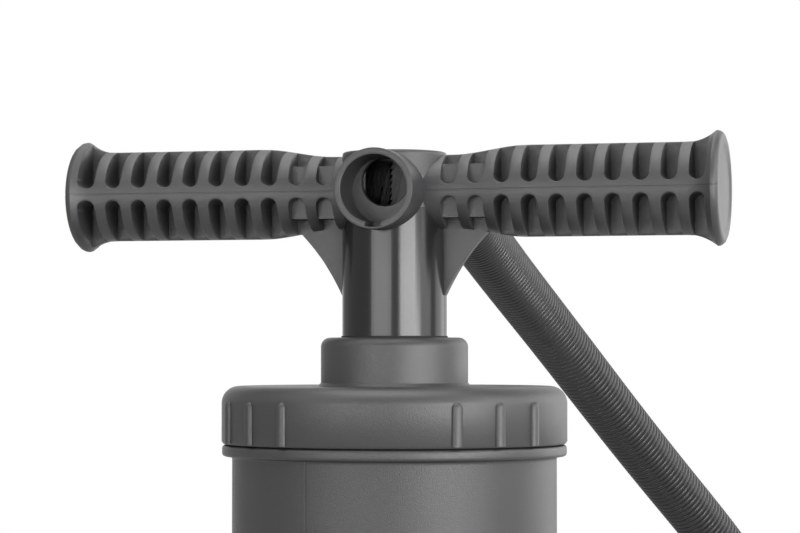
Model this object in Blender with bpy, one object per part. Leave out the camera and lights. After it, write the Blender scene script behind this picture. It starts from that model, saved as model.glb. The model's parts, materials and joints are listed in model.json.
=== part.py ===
"""Double action hand pump: a T-handle and hollow rod drive a four-flap piston in an upright barrel.

Metres, +Z up. The origin is on the floor under the barrel's axis. The handle lies along X and the
open air socket faces -Y. The rest pose has the handle fully down.
"""

import math

import bmesh
import bpy
import numpy as np
from mathutils import Matrix, Vector

# Fits
CLEAR = 0.0003
RUNNING_CLEAR = 0.0004
TOOL_MARGIN = 0.002

# Roundness of turned pieces
SIDES_LARGE = 32
SIDES_ROD = 24
SIDES_GRIP = 16
SIDES_SMALL = 12
SIDES_SCREW = 6
ARC_STEPS = 3
SMOOTH_ANGLE = 35.0
MERGE_DISTANCE = 1e-7

# Base, its treads and its feet
BASE_LENGTH = 0.236
BASE_WIDTH = 0.128
BASE_CORNER = 0.040
BASE_THICKNESS = 0.012
BASE_EDGE = 0.003
BASE_WALL = 0.004
BASE_BOSS_HEIGHT = 0.020
BASE_BOSS_WALL = 0.006
FOOT_RADIUS = 0.011
FOOT_HEIGHT = 0.004
FOOT_RECESS = 0.001
FOOT_INSET = 0.022
FOOT_EDGE = 0.0008
TREAD_LENGTH = 0.040
TREAD_WIDTH = 0.090
TREAD_THICKNESS = 0.0016
TREAD_RIDGE_HEIGHT = 0.0012
TREAD_RIDGES = 6
TREAD_CREST_START = 0.2
TREAD_CREST_END = 0.6
TREAD_RIDGE_END = 0.8
TREAD_INSET = 0.006

# Barrel
BARREL_RADIUS = 0.05237
BARREL_WALL = 0.00255
BARREL_FLOOR = 0.006
BARREL_HEIGHT = 0.266
BARREL_LIP_RADIUS = 0.0556
BARREL_LIP_HEIGHT = 0.0036
BARREL_LIP_DROP = 0.0121
BARREL_LIP_ROUND = 0.0012

# Screw cap and its neck
CAP_RADIUS = 0.05578
CAP_HEIGHT = 0.0185
CAP_SKIRT_WALL = 0.0026
CAP_TOP_WALL = 0.0045
CAP_SHOULDER = 0.0055
CAP_GROUPS = 4
CAP_RIBS_IN_GROUP = 3
CAP_RIB_STEP = math.radians(15.6)
CAP_FIRST_GROUP = math.radians(-39.7)
CAP_RIB_WIDTH = 0.0036
CAP_RIB_PROUD = 0.0012
CAP_RIB_TOP_DROP = 0.0046
NECK_RADIUS = 0.0238
NECK_HEIGHT = 0.0156
NECK_ROUND = 0.0030
NECK_LIP = 0.0030

# Seals, guide and retainer
GASKET_HEIGHT = 0.0019
GASKET_INSET = 0.0004
SEAL_HEIGHT = 0.0038
GUIDE_WALL = 0.0027
RETAINER_THICKNESS = 0.0025
RETAINER_RADIUS = 0.0330
RETAINER_SCREWS = 3
RETAINER_SCREW_CIRCLE = 0.0265
RETAINER_SCREW_FIRST = 90.0

# Screws
SCREW_RADIUS = 0.0016
SCREW_HEAD_RADIUS = 0.0034
SCREW_HEAD_HEIGHT = 0.0022
SCREW_CROWN = 0.0008
SCREW_POINT = 0.0010
SCREW_BITE = 0.0030
BASE_SCREWS = 4
BASE_SCREW_CIRCLE = 0.036
BASE_SCREW_FIRST = 45.0
PISTON_SCREWS = 4
PISTON_SCREW_FIRST = 45.0
PISTON_SCREW_INSET = 0.0025

# Rod
ROD_RADIUS = 0.0169
ROD_WALL = 0.0020
DIVIDER_THICKNESS = 0.0020

# Piston
PISTON_FLOOR_GAP = 0.0075
PISTON_PLATE = 0.0030
PISTON_BODY_HEIGHT = 0.0160
PISTON_BODY_WALL = 0.0030
PISTON_SEAL_WIDTH = 0.0030
PISTON_RUN_GAP = 0.0007
PISTON_SEAL_GAP = 0.0005
PISTON_WALL = 0.0030
PISTON_COLLAR_HEIGHT = 0.0120
PISTON_COLLAR_WALL = 0.0030
PISTON_BOSS_RADIUS = 0.0042
BUMPER_BORE = 0.0080
BUMPER_RADIUS = 0.0140

# Check flaps
FLAP_PORT_RADIUS = 0.0045
FLAP_PORT_OFFSET = 0.0320
FLAP_LENGTH = 0.0150
FLAP_WIDTH = 0.0150
FLAP_THICKNESS = 0.0014
KEEPER_DEPTH = 0.0025

# Handle
HANDLE_ABOVE_NECK = 0.0469
HANDLE_LENGTH = 0.2149
GRIP_RADIUS = 0.01473
GRIP_NECK_RADIUS = 0.0120
GRIP_NECK_END = 0.0200
GRIP_SWELL_END = 0.0440
FLARE_RADIUS = 0.01825
FLARE_LENGTH = 0.0090
FLARE_RIM = 0.0023
SLOT_COUNT = 10
SLOT_PITCH = 0.0089
SLOT_WIDTH = 0.0053
SLOT_FROM_HUB = 0.00385
SPINE_THICKNESS = 0.0040
WEB_THICKNESS = 0.0030
CORE_SLOTS = 2
CORE_HALF_HEIGHT = 0.0085
CORE_HALF_DEPTH = 0.0082
HUB_RISE = 0.01305
HUB_DROP = 0.0055
HUB_EDGE = 0.0010
HUB_ROOF = 0.0022
SPIGOT_LENGTH = 0.0200
SPIGOT_WALL = 0.0039
GUSSET_THICKNESS = 0.0032
GUSSET_REACH = 0.0320
GUSSET_DEPTH = 0.0333
GUSSET_SAG = 0.0011
GUSSET_ROOT = 0.0072
GUSSET_TIP = 0.0004

# Bayonet sockets
SOCKET_RADIUS = 0.0129
SOCKET_BORE = 0.0108
SOCKET_REACH = 0.0267
SOCKET_DEPTH = 0.0147
AIR_HOLE_RADIUS = 0.00775
AIR_HOLE_RISE = 0.0030
LUG_WIDTH = 0.0044
LUG_HEIGHT = 0.0014
LUG_LENGTH = 0.0032
LUG_TURN = math.radians(45.0)
LUG_TRACK_DEPTH = 0.0050

# Hose connector, end cuff and nozzle
PLUG_WALL = 0.0022
PLUG_END_GAP = 0.0015
CUFF_COLLAR_LENGTH = 0.0040
CUFF_COLLAR_PROUD = 0.0008
CUFF_SLEEVE_LENGTH = 0.0220
CUFF_SLEEVE_WALL = 0.0018
CUFF_RIDGES = 2
CUFF_RIDGE_MIDDLE = 0.75
CUFF_RIDGE_FOOT = 0.30
CUFF_RIDGE_CREST = 0.15
NOZZLE_STEPS = ((0.0105, 0.018), (0.0080, 0.016), (0.0055, 0.016))
NOZZLE_WALL = 0.0018
NOZZLE_TAPER = 0.0006
NOZZLE_PLUG = 0.0035

# Hose
HOSE_RADIUS = 0.0107
HOSE_GROOVE = 0.0011
HOSE_BORE = 0.0085
HOSE_RIBS = 90
HOSE_BORE_POINTS = 45
HOSE_BORE_OVERRUN = 0.2
HOSE_ROUND_STEPS = 2
HOSE_SPAN_STEPS = 16
HOSE_ROUTE = (
    (0.0000, 0.0900, 0.3477),
    (0.0010, 0.1180, 0.3406),
    (0.0035, 0.1460, 0.3302),
    (0.0118, 0.1920, 0.3083),
    (0.0267, 0.2330, 0.2790),
    (0.0456, 0.2740, 0.2455),
    (0.0604, 0.3010, 0.2210),
    (0.0802, 0.3330, 0.1860),
    (0.1239, 0.3897, 0.1096),
    (0.1393, 0.4511, 0.0581),
    (0.1224, 0.4999, 0.0260),
    (0.0808, 0.5428, 0.0128),
    (0.0265, 0.5594, 0.0112),
    (-0.0392, 0.5416, 0.0112),
    (-0.0889, 0.4873, 0.0112),
    (-0.1069, 0.4382, 0.0116),
    (-0.1138, 0.3618, 0.0139),
)

# Colours, linear
DARK_GREY = (0.050, 0.051, 0.053)
BLACK_GLOSS = (0.022, 0.022, 0.022)
HOSE_GREY = (0.040, 0.040, 0.041)
RUBBER_BLACK = (0.020, 0.020, 0.020)
SEAL_GREY = (0.035, 0.035, 0.036)
STEEL = (0.55, 0.55, 0.56)

# Levels worked out from the sizes above
BASE_UNDER = FOOT_HEIGHT - FOOT_RECESS
BASE_TOP = BASE_UNDER + BASE_THICKNESS
BARREL_LOW = BASE_TOP + CLEAR
BARREL_TOP = BARREL_LOW + BARREL_HEIGHT
BARREL_BORE = BARREL_RADIUS - BARREL_WALL
BARREL_INNER_FLOOR = BARREL_LOW + BARREL_FLOOR
LIP_TOP = BARREL_TOP - BARREL_LIP_DROP
CAP_LOW = LIP_TOP + RUNNING_CLEAR
CAP_TOP = CAP_LOW + CAP_HEIGHT
CAP_CEILING = CAP_TOP - CAP_TOP_WALL
NECK_TOP = CAP_TOP + NECK_HEIGHT
NECK_POCKET = ROD_RADIUS + RUNNING_CLEAR + GUIDE_WALL + RUNNING_CLEAR
HANDLE_Z = NECK_TOP + HANDLE_ABOVE_NECK
HUB_LOW = HANDLE_Z - HUB_DROP
PISTON_LOW = BARREL_INNER_FLOOR + PISTON_FLOOR_GAP
PISTON_BODY_LOW = PISTON_LOW + PISTON_PLATE + CLEAR
PISTON_BODY_TOP = PISTON_BODY_LOW + PISTON_BODY_HEIGHT
PISTON_UPPER_LOW = PISTON_BODY_TOP + CLEAR
PISTON_UPPER_TOP = PISTON_UPPER_LOW + PISTON_PLATE
PISTON_RADIUS = BARREL_BORE - PISTON_RUN_GAP
PISTON_SEAL_RADIUS = BARREL_BORE - PISTON_SEAL_GAP
PISTON_BODY_RADIUS = PISTON_SEAL_RADIUS - PISTON_SEAL_WIDTH - CLEAR
ROD_BORE = ROD_RADIUS - ROD_WALL
ROD_LOW = PISTON_UPPER_TOP + CLEAR
ROD_TOP = HUB_LOW - CLEAR
SPIGOT_RADIUS = ROD_BORE - CLEAR
SPIGOT_LOW = HUB_LOW - SPIGOT_LENGTH
CHANNEL_RADIUS = SPIGOT_RADIUS - SPIGOT_WALL
SOCKET_FLOOR = SOCKET_REACH - SOCKET_DEPTH
PLUG_RADIUS = SOCKET_BORE - RUNNING_CLEAR
CUFF_RADIUS = HOSE_RADIUS + CLEAR + CUFF_SLEEVE_WALL
HOSE_START_Y = SOCKET_REACH + RUNNING_CLEAR + CUFF_COLLAR_LENGTH + CLEAR


def clear_scene():
    """Remove every object of the open scene."""
    for old in list(bpy.data.objects):
        bpy.data.objects.remove(old, do_unlink=True)


def make_material(name, colour, roughness, metallic=0.0):
    """A plain Principled BSDF material."""
    made = bpy.data.materials.new(name)
    made.use_nodes = True
    shader = made.node_tree.nodes["Principled BSDF"]
    shader.inputs["Base Color"].default_value = (*colour, 1.0)
    shader.inputs["Roughness"].default_value = roughness
    shader.inputs["Metallic"].default_value = metallic
    return made


def make_frame(name, location, parent=None):
    """An empty on a joint's axis that carries the pieces of one moving body."""
    frame = bpy.data.objects.new(name, None)
    bpy.context.scene.collection.objects.link(frame)
    frame.parent = parent
    start = parent.matrix_world.translation if parent else Vector()
    frame.location = Vector(location) - start
    bpy.context.view_layer.update()
    return frame


def mesh_object(name, bm):
    """Turn a bmesh with consistent outward faces into a linked object."""
    bmesh.ops.recalc_face_normals(bm, faces=bm.faces)
    mesh = bpy.data.meshes.new(name)
    bm.to_mesh(mesh)
    bm.free()
    mesh.shade_smooth()
    mesh.set_sharp_from_angle(angle=math.radians(SMOOTH_ANGLE))
    made = bpy.data.objects.new(name, mesh)
    bpy.context.scene.collection.objects.link(made)
    return made


def arc(centre, radius, start_deg, end_deg, steps=ARC_STEPS):
    """Points of an arc in a plane, both ends included."""
    points = []
    for i in range(steps + 1):
        angle = math.radians(start_deg + (end_deg - start_deg) * i / steps)
        points.append((centre[0] + radius * math.cos(angle), centre[1] + radius * math.sin(angle)))
    return points


def turned(name, profile, sides):
    """A solid of revolution about Z from (radius, height) points; off the axis it is closed to a ring."""
    bm = bmesh.new()
    verts = [bm.verts.new((r, 0.0, z)) for r, z in profile]
    edges = [bm.edges.new(pair) for pair in zip(verts, verts[1:])]
    if profile[0][0] > 0.0 and profile[-1][0] > 0.0:
        edges.append(bm.edges.new((verts[-1], verts[0])))
    bmesh.ops.spin(
        bm, geom=verts + edges, cent=(0, 0, 0), axis=(0, 0, 1), angle=math.tau, steps=sides, use_merge=True
    )
    bmesh.ops.remove_doubles(bm, verts=bm.verts, dist=MERGE_DISTANCE)
    return mesh_object(name, bm)


def ring(name, inner, outer, low, high, sides):
    """A plain ring or washer."""
    return turned(name, [(outer, high), (outer, low), (inner, low), (inner, high)], sides)


def rod_solid(name, radius, low, high, sides):
    """A plain round bar."""
    return turned(name, [(0.0, high), (radius, high), (radius, low), (0.0, low)], sides)


def prism(name, outline, low, high):
    """A closed outline in XY, extruded along Z."""
    bm = bmesh.new()
    face = bm.faces.new([bm.verts.new((x, y, low)) for x, y in outline])
    grown = bmesh.ops.extrude_face_region(bm, geom=[face])
    moved = [item for item in grown["geom"] if isinstance(item, bmesh.types.BMVert)]
    bmesh.ops.translate(bm, verts=moved, vec=(0, 0, high - low))
    return mesh_object(name, bm)


def block(name, x_span, y_span, z_span):
    """A rectangular block from its spans."""
    outline = [
        (x_span[0], y_span[0]),
        (x_span[1], y_span[0]),
        (x_span[1], y_span[1]),
        (x_span[0], y_span[1]),
    ]
    return prism(name, outline, *z_span)


def turn_mesh(made, *turns):
    """Rotate an object's mesh about its own origin by (degrees, axis) pairs, in order."""
    for degrees, axis in turns:
        made.data.transform(Matrix.Rotation(math.radians(degrees), 4, axis))
    return made


def shift_mesh(made, offset):
    """Move an object's mesh away from its origin."""
    made.data.transform(Matrix.Translation(Vector(offset)))
    return made


def merge_meshes(name, pieces):
    """One object whose mesh holds several separate closed bodies."""
    bm = bmesh.new()
    for piece in pieces:
        bm.from_mesh(piece.data)
        bpy.data.objects.remove(piece, do_unlink=True)
    return mesh_object(name, bm)


def combine(target, tool, operation):
    """Add a Boolean modifier and hide its tool."""
    tool.hide_render = True
    tool.display_type = "WIRE"
    tool.parent = target
    step = target.modifiers.new(operation.title() + "_" + tool.name, "BOOLEAN")
    step.operation = operation
    step.object = tool
    return target


def cut(target, tool):
    """Take a tool's shape out of a piece."""
    return combine(target, tool, "DIFFERENCE")


def add(target, tool):
    """Fuse a tool's shape to a piece."""
    return combine(target, tool, "UNION")


def place(made, frame, location, finish):
    """Hang a piece on its body's frame at a world place and give it its finish."""
    made.parent = frame
    made.location = Vector(location) - frame.matrix_world.translation
    made.data.materials.append(finish)
    return made


def around(count, radius, first_deg=0.0):
    """Places evenly spaced on a circle about Z, as (x, y, angle)."""
    places = []
    for i in range(count):
        angle = math.radians(first_deg) + math.tau * i / count
        places.append((radius * math.cos(angle), radius * math.sin(angle), angle))
    return places


def screw_solid(name, length):
    """A pan-head screw that points up, with its head's seat at z = 0."""
    profile = [
        (0.0, length),
        (SCREW_RADIUS, length - SCREW_POINT),
        (SCREW_RADIUS, 0.0),
        (SCREW_HEAD_RADIUS, 0.0),
        (SCREW_HEAD_RADIUS, -SCREW_HEAD_HEIGHT + SCREW_CROWN),
        (SCREW_HEAD_RADIUS - SCREW_CROWN, -SCREW_HEAD_HEIGHT),
        (0.0, -SCREW_HEAD_HEIGHT),
    ]
    return turned(name, profile, SIDES_SCREW)


def screw_holes(name, places, low, high, radius=SCREW_RADIUS + CLEAR):
    """A tool of round holes at (x, y, angle) places."""
    pieces = []
    for i, (x, y, _) in enumerate(places):
        pieces.append(shift_mesh(rod_solid(f"{name}_{i}", radius, low, high, SIDES_SCREW), (x, y, 0)))
    return merge_meshes(name, pieces)


def rounded_rectangle(length, width, corner):
    """Outline of a rectangle with round corners, anticlockwise."""
    x, y = length / 2 - corner, width / 2 - corner
    points = []
    for sx, sy, start in ((1, 1, 0), (-1, 1, 90), (-1, -1, 180), (1, -1, 270)):
        points += arc((sx * x, sy * y), corner, start, start + 90, 2 * ARC_STEPS)
    return points


def foot_places():
    """Centres of the four rubber feet."""
    x = BASE_LENGTH / 2 - FOOT_INSET - FOOT_RADIUS
    y = BASE_WIDTH / 2 - FOOT_INSET - FOOT_RADIUS / 2
    return [(sx * x, sy * y) for sx in (-1, 1) for sy in (-1, 1)]


def boss_outer():
    """Outer radius of the base's barrel socket."""
    return BARREL_RADIUS + CLEAR + BASE_BOSS_WALL


def base_screw_places():
    """Places of the screws that hold the barrel on its base."""
    return around(BASE_SCREWS, BASE_SCREW_CIRCLE, BASE_SCREW_FIRST)


def build_base(frame, finish):
    """The moulded base with its barrel socket, hollow wings and foot recesses."""
    bm = bmesh.new()
    outline = rounded_rectangle(BASE_LENGTH, BASE_WIDTH, BASE_CORNER)
    bevel = 2 * BASE_EDGE
    inner = rounded_rectangle(BASE_LENGTH - bevel, BASE_WIDTH - bevel, BASE_CORNER - BASE_EDGE)
    levels = ((outline, 0.0), (outline, BASE_THICKNESS - BASE_EDGE), (inner, BASE_THICKNESS))
    loops = [[bm.verts.new((x, y, z)) for x, y in points] for points, z in levels]
    bm.faces.new(list(reversed(loops[0])))
    bm.faces.new(loops[-1])
    for low, high in zip(loops, loops[1:]):
        for i in range(len(low)):
            j = (i + 1) % len(low)
            bm.faces.new((low[i], low[j], high[j], high[i]))
    base = mesh_object("base", bm)
    inside = BARREL_RADIUS + CLEAR
    boss = [
        (boss_outer(), BASE_BOSS_HEIGHT + BASE_THICKNESS - BASE_EDGE / 2),
        (boss_outer(), BASE_THICKNESS / 2),
        (inside, BASE_THICKNESS / 2),
        (inside, BASE_BOSS_HEIGHT + BASE_THICKNESS),
        (boss_outer() - BASE_EDGE / 2, BASE_BOSS_HEIGHT + BASE_THICKNESS),
    ]
    add(base, turned("base_boss", boss, SIDES_LARGE))
    wing_start = boss_outer() + BASE_WALL
    pocket_end = BASE_LENGTH / 2 - BASE_WALL - BASE_EDGE
    half = foot_places()[1][1] - FOOT_RADIUS - BASE_WALL
    pockets = []
    for side in (-1, 1):
        span = sorted((side * (wing_start - BASE_WALL), side * pocket_end))
        for y_side in (-1, 1):
            rows = sorted((y_side * BASE_WALL / 2, y_side * half))
            pockets.append(block("wing_pocket", span, rows, (-TOOL_MARGIN, BASE_THICKNESS - BASE_WALL)))
    cut(base, merge_meshes("wing_pockets", pockets))
    recesses = []
    for x, y in foot_places():
        tool = rod_solid("foot_recess", FOOT_RADIUS + CLEAR, -TOOL_MARGIN, FOOT_RECESS + CLEAR, SIDES_SMALL)
        recesses.append(shift_mesh(tool, (x, y, 0)))
    cut(base, merge_meshes("foot_recesses", recesses))
    head_room = SCREW_HEAD_HEIGHT + CLEAR
    places = base_screw_places()
    cut(base, screw_holes("base_screw_holes", places, -TOOL_MARGIN, BASE_THICKNESS + TOOL_MARGIN))
    seat_radius = SCREW_HEAD_RADIUS + CLEAR
    cut(base, screw_holes("base_screw_seats", places, -TOOL_MARGIN, head_room, seat_radius))
    return place(base, frame, (0, 0, BASE_UNDER), finish)


def build_base_fittings(frame, rubber, steel):
    """Feet, treads and the screws of the base."""
    for i, (x, y) in enumerate(foot_places(), 1):
        profile = [
            (0.0, FOOT_HEIGHT),
            (FOOT_RADIUS, FOOT_HEIGHT),
            (FOOT_RADIUS, FOOT_EDGE),
            (FOOT_RADIUS - FOOT_EDGE, 0.0),
            (0.0, 0.0),
        ]
        place(turned(f"rubber_foot_{i}", profile, SIDES_SMALL), frame, (x, y, 0), rubber)
    for side, name in ((-1, "tread_left"), (1, "tread_right")):
        step = TREAD_LENGTH / TREAD_RIDGES
        outline = [(TREAD_LENGTH / 2, 0.0)]
        for i in range(TREAD_RIDGES):
            right = TREAD_LENGTH / 2 - i * step
            outline += [
                (right, TREAD_THICKNESS),
                (right - step * TREAD_CREST_START, TREAD_THICKNESS + TREAD_RIDGE_HEIGHT),
                (right - step * TREAD_CREST_END, TREAD_THICKNESS + TREAD_RIDGE_HEIGHT),
                (right - step * TREAD_RIDGE_END, TREAD_THICKNESS),
            ]
        outline += [(-TREAD_LENGTH / 2, TREAD_THICKNESS), (-TREAD_LENGTH / 2, 0.0)]
        tread = turn_mesh(prism(name, outline, -TREAD_WIDTH / 2, TREAD_WIDTH / 2), (90, "X"))
        x = side * (BASE_LENGTH / 2 - BASE_EDGE - TREAD_INSET - TREAD_LENGTH / 2)
        place(tread, frame, (x, 0, BASE_TOP + CLEAR), rubber)
    seat = BASE_UNDER + SCREW_HEAD_HEIGHT + CLEAR
    length = BARREL_LOW + SCREW_BITE - seat
    for i, (x, y, _) in enumerate(base_screw_places(), 1):
        place(screw_solid(f"base_screw_{i}", length), frame, (x, y, seat - CLEAR), steel)


def build_barrel(frame, finish, rubber):
    """The barrel, a cup with a lip and a plain neck that the cap screws over, and the bumper on its floor."""
    lip_top = BARREL_HEIGHT - BARREL_LIP_DROP
    lip_low = lip_top - BARREL_LIP_HEIGHT
    corner = (BARREL_LIP_RADIUS - BARREL_LIP_ROUND, lip_low + BARREL_LIP_ROUND)
    profile = [(0.0, BARREL_FLOOR), (BARREL_BORE, BARREL_FLOOR), (BARREL_BORE, BARREL_HEIGHT)]
    profile += [(BARREL_RADIUS, BARREL_HEIGHT), (BARREL_RADIUS, lip_top), (BARREL_LIP_RADIUS, lip_top)]
    profile += arc(corner, BARREL_LIP_ROUND, 0, -90)
    profile += [(BARREL_RADIUS, lip_low), (BARREL_RADIUS, 0.0), (0.0, 0.0)]
    barrel = turned("barrel", profile, SIDES_LARGE)
    cut(barrel, screw_holes("barrel_screw_holes", base_screw_places(), -TOOL_MARGIN, SCREW_BITE + 2 * CLEAR))
    place(barrel, frame, (0, 0, BARREL_LOW), finish)
    height = PISTON_FLOOR_GAP - 2 * CLEAR
    bumper = ring("bottom_bumper", BUMPER_BORE, BUMPER_RADIUS, 0, height, SIDES_ROD)
    place(bumper, frame, (0, 0, BARREL_INNER_FLOOR + CLEAR), rubber)


def cap_rib_angles():
    """Directions of the cap's grip ribs, from -Y towards +X."""
    angles = []
    for group in range(CAP_GROUPS):
        centre = CAP_FIRST_GROUP + math.tau * group / CAP_GROUPS
        for i in range(CAP_RIBS_IN_GROUP):
            angles.append(centre + (i - (CAP_RIBS_IN_GROUP - 1) / 2) * CAP_RIB_STEP)
    return angles


def cap_rib(angle):
    """One upright grip rib with a round top, standing proud of the skirt."""
    half = CAP_RIB_WIDTH / 2
    top = CAP_HEIGHT - CAP_RIB_TOP_DROP
    outline = [(-half, RUNNING_CLEAR), (half, RUNNING_CLEAR)] + arc((0, top - half), half, 0, 180)
    inner = CAP_RADIUS - CAP_SKIRT_WALL / 2
    rib = turn_mesh(prism("rib", outline, inner, CAP_RADIUS + CAP_RIB_PROUD), (90, "X"))
    return turn_mesh(rib, (math.degrees(angle), "Z"))


def retainer_places():
    """Places of the retainer's screws."""
    return around(RETAINER_SCREWS, RETAINER_SCREW_CIRCLE, RETAINER_SCREW_FIRST)


def build_cap(frame, finish):
    """The screw cap with its neck, the wiper lip and the guide pocket."""
    ceiling = CAP_HEIGHT - CAP_TOP_WALL
    neck_top = CAP_HEIGHT + NECK_HEIGHT
    lip_bore = ROD_RADIUS + RUNNING_CLEAR
    skirt = CAP_RADIUS - CAP_SKIRT_WALL
    profile = [(lip_bore, neck_top), (NECK_RADIUS - NECK_ROUND, neck_top)]
    profile += arc((NECK_RADIUS - NECK_ROUND, neck_top - NECK_ROUND), NECK_ROUND, 90, 0)[1:]
    profile += [(NECK_RADIUS, CAP_HEIGHT)]
    profile += arc((CAP_RADIUS - CAP_SHOULDER, CAP_HEIGHT - CAP_SHOULDER), CAP_SHOULDER, 90, 0)
    profile += [(CAP_RADIUS, 0.0), (skirt, 0.0), (skirt, ceiling), (NECK_POCKET, ceiling)]
    profile += [(NECK_POCKET, neck_top - NECK_LIP), (lip_bore, neck_top - NECK_LIP)]
    cap = turned("screw_cap", profile, SIDES_LARGE)
    add(cap, merge_meshes("cap_ribs", [cap_rib(angle) for angle in cap_rib_angles()]))
    bite = ceiling + SCREW_BITE + CLEAR
    cut(cap, screw_holes("cap_screw_holes", retainer_places(), ceiling - TOOL_MARGIN, bite))
    return place(cap, frame, (0, 0, CAP_LOW), finish)


def build_cap_fittings(frame, guide_frame, rubber, guide_finish, steel):
    """Gasket, wiper seal, guide bush, retainer ring and its screws."""
    gasket_low = CAP_CEILING - CLEAR - GASKET_HEIGHT
    inner = BARREL_BORE + GASKET_INSET
    outer = CAP_RADIUS - CAP_SKIRT_WALL - CLEAR
    place(ring("cap_gasket", inner, outer, 0, GASKET_HEIGHT, SIDES_LARGE), frame, (0, 0, gasket_low), rubber)
    bore = ROD_RADIUS + RUNNING_CLEAR
    outside = NECK_POCKET - RUNNING_CLEAR
    seal_top = NECK_TOP - NECK_LIP - CLEAR
    seal_low = seal_top - SEAL_HEIGHT
    place(ring("rod_seal", bore, outside, 0, SEAL_HEIGHT, SIDES_ROD), frame, (0, 0, seal_low), rubber)
    guide_low = CAP_CEILING + CLEAR
    height = seal_low - CLEAR - guide_low
    guide = ring("rod_guide", bore, outside, 0, height, SIDES_ROD)
    place(guide, guide_frame, (0, 0, guide_low), guide_finish)
    retainer_low = CAP_CEILING - CLEAR - RETAINER_THICKNESS
    retainer = ring("guide_retainer", bore, RETAINER_RADIUS, 0, RETAINER_THICKNESS, SIDES_ROD)
    high = RETAINER_THICKNESS + TOOL_MARGIN
    cut(retainer, screw_holes("retainer_holes", retainer_places(), -TOOL_MARGIN, high))
    place(retainer, frame, (0, 0, retainer_low), guide_finish)
    length = RETAINER_THICKNESS + 2 * CLEAR + SCREW_BITE - CLEAR
    for i, (x, y, _) in enumerate(retainer_places(), 1):
        place(screw_solid(f"retainer_screw_{i}", length), frame, (x, y, retainer_low - CLEAR), steel)


def build_rod(frame, finish, divider_finish):
    """The hollow rod, its top notched round the handle, and the plate that splits it into two channels."""
    rod = ring("piston_rod", ROD_BORE, ROD_RADIUS, 0, ROD_TOP - ROD_LOW, SIDES_ROD)
    reach = ROD_RADIUS + TOOL_MARGIN
    mouths = (("socket_mouth", SOCKET_RADIUS, (90, "X")), ("grip_mouth", GRIP_NECK_RADIUS, (90, "Y")))
    for name, radius, turns in mouths:
        mouth = turn_mesh(rod_solid(name, radius + CLEAR, -reach, reach, SIDES_ROD), turns)
        cut(rod, shift_mesh(mouth, (0, 0, HANDLE_Z - ROD_LOW)))
    place(rod, frame, (0, 0, ROD_LOW), finish)
    half = math.sqrt((ROD_BORE - 2 * CLEAR) ** 2 - (DIVIDER_THICKNESS / 2) ** 2)
    low = PISTON_UPPER_LOW
    thick = DIVIDER_THICKNESS / 2
    plate = block("rod_divider", (-half, half), (-thick, thick), (0, SPIGOT_LOW - CLEAR - low))
    place(plate, frame, (0, 0, low), divider_finish)


def piston_screw_places():
    """Places of the screws that clamp the piston together."""
    circle = PISTON_BODY_RADIUS - PISTON_BODY_WALL - PISTON_SCREW_INSET
    return around(PISTON_SCREWS, circle, PISTON_SCREW_FIRST)


def port_tool(name, y, height):
    """A tool for one flap's air port through a plate."""
    tool = rod_solid(name, FLAP_PORT_RADIUS, -TOOL_MARGIN, height + TOOL_MARGIN, SIDES_SMALL)
    return shift_mesh(tool, (0, y, 0))


def build_piston(frame, finish, rubber, steel):
    """Upper plate with the rod's collar, body with its cross wall, lower plate, seal and screws."""
    ports = [-FLAP_PORT_OFFSET, FLAP_PORT_OFFSET]
    through = (-TOOL_MARGIN, PISTON_PLATE + TOOL_MARGIN)
    collar_bore = ROD_RADIUS + CLEAR
    collar = collar_bore + PISTON_COLLAR_WALL
    top = PISTON_PLATE + PISTON_COLLAR_HEIGHT
    profile = [(collar_bore, PISTON_PLATE), (collar_bore, top), (collar, top), (collar, PISTON_PLATE)]
    profile += [(PISTON_RADIUS, PISTON_PLATE), (PISTON_RADIUS, 0.0)]
    profile += [(ROD_BORE, 0.0), (ROD_BORE, PISTON_PLATE)]
    upper = turned("piston_upper_plate", profile, SIDES_LARGE)
    cut(upper, merge_meshes("upper_ports", [port_tool("port", y, PISTON_PLATE) for y in ports]))
    cut(upper, screw_holes("upper_holes", piston_screw_places(), *through))
    place(upper, frame, (0, 0, PISTON_UPPER_LOW), finish)
    lower = rod_solid("piston_lower_plate", PISTON_RADIUS, 0, PISTON_PLATE, SIDES_LARGE)
    cut(lower, merge_meshes("lower_ports", [port_tool("port", y, PISTON_PLATE) for y in ports]))
    cut(lower, screw_holes("lower_holes", piston_screw_places(), *through))
    place(lower, frame, (0, 0, PISTON_LOW), finish)
    inner = PISTON_BODY_RADIUS - PISTON_BODY_WALL
    body = ring("piston_body", inner, PISTON_BODY_RADIUS, 0, PISTON_BODY_HEIGHT, SIDES_LARGE)
    reach = inner + PISTON_BODY_WALL / 2
    thick = PISTON_WALL / 2
    add(body, block("cross_wall", (-reach, reach), (-thick, thick), (0, PISTON_BODY_HEIGHT)))
    bosses = []
    for x, y, _ in piston_screw_places():
        boss = rod_solid("boss", PISTON_BOSS_RADIUS, 0, PISTON_BODY_HEIGHT, SIDES_SMALL)
        bosses.append(shift_mesh(boss, (x, y, 0)))
    add(body, merge_meshes("piston_bosses", bosses))
    tall = PISTON_BODY_HEIGHT + TOOL_MARGIN
    cut(body, screw_holes("body_holes", piston_screw_places(), -TOOL_MARGIN, tall))
    place(body, frame, (0, 0, PISTON_BODY_LOW), finish)
    seal = ring(
        "piston_seal",
        PISTON_BODY_RADIUS + CLEAR,
        PISTON_SEAL_RADIUS,
        0,
        PISTON_BODY_HEIGHT,
        SIDES_LARGE,
    )
    place(seal, frame, (0, 0, PISTON_BODY_LOW), rubber)
    length = PISTON_UPPER_TOP - PISTON_LOW
    for i, (x, y, _) in enumerate(piston_screw_places(), 1):
        place(screw_solid(f"piston_screw_{i}", length), frame, (x, y, PISTON_LOW - CLEAR), steel)


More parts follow.
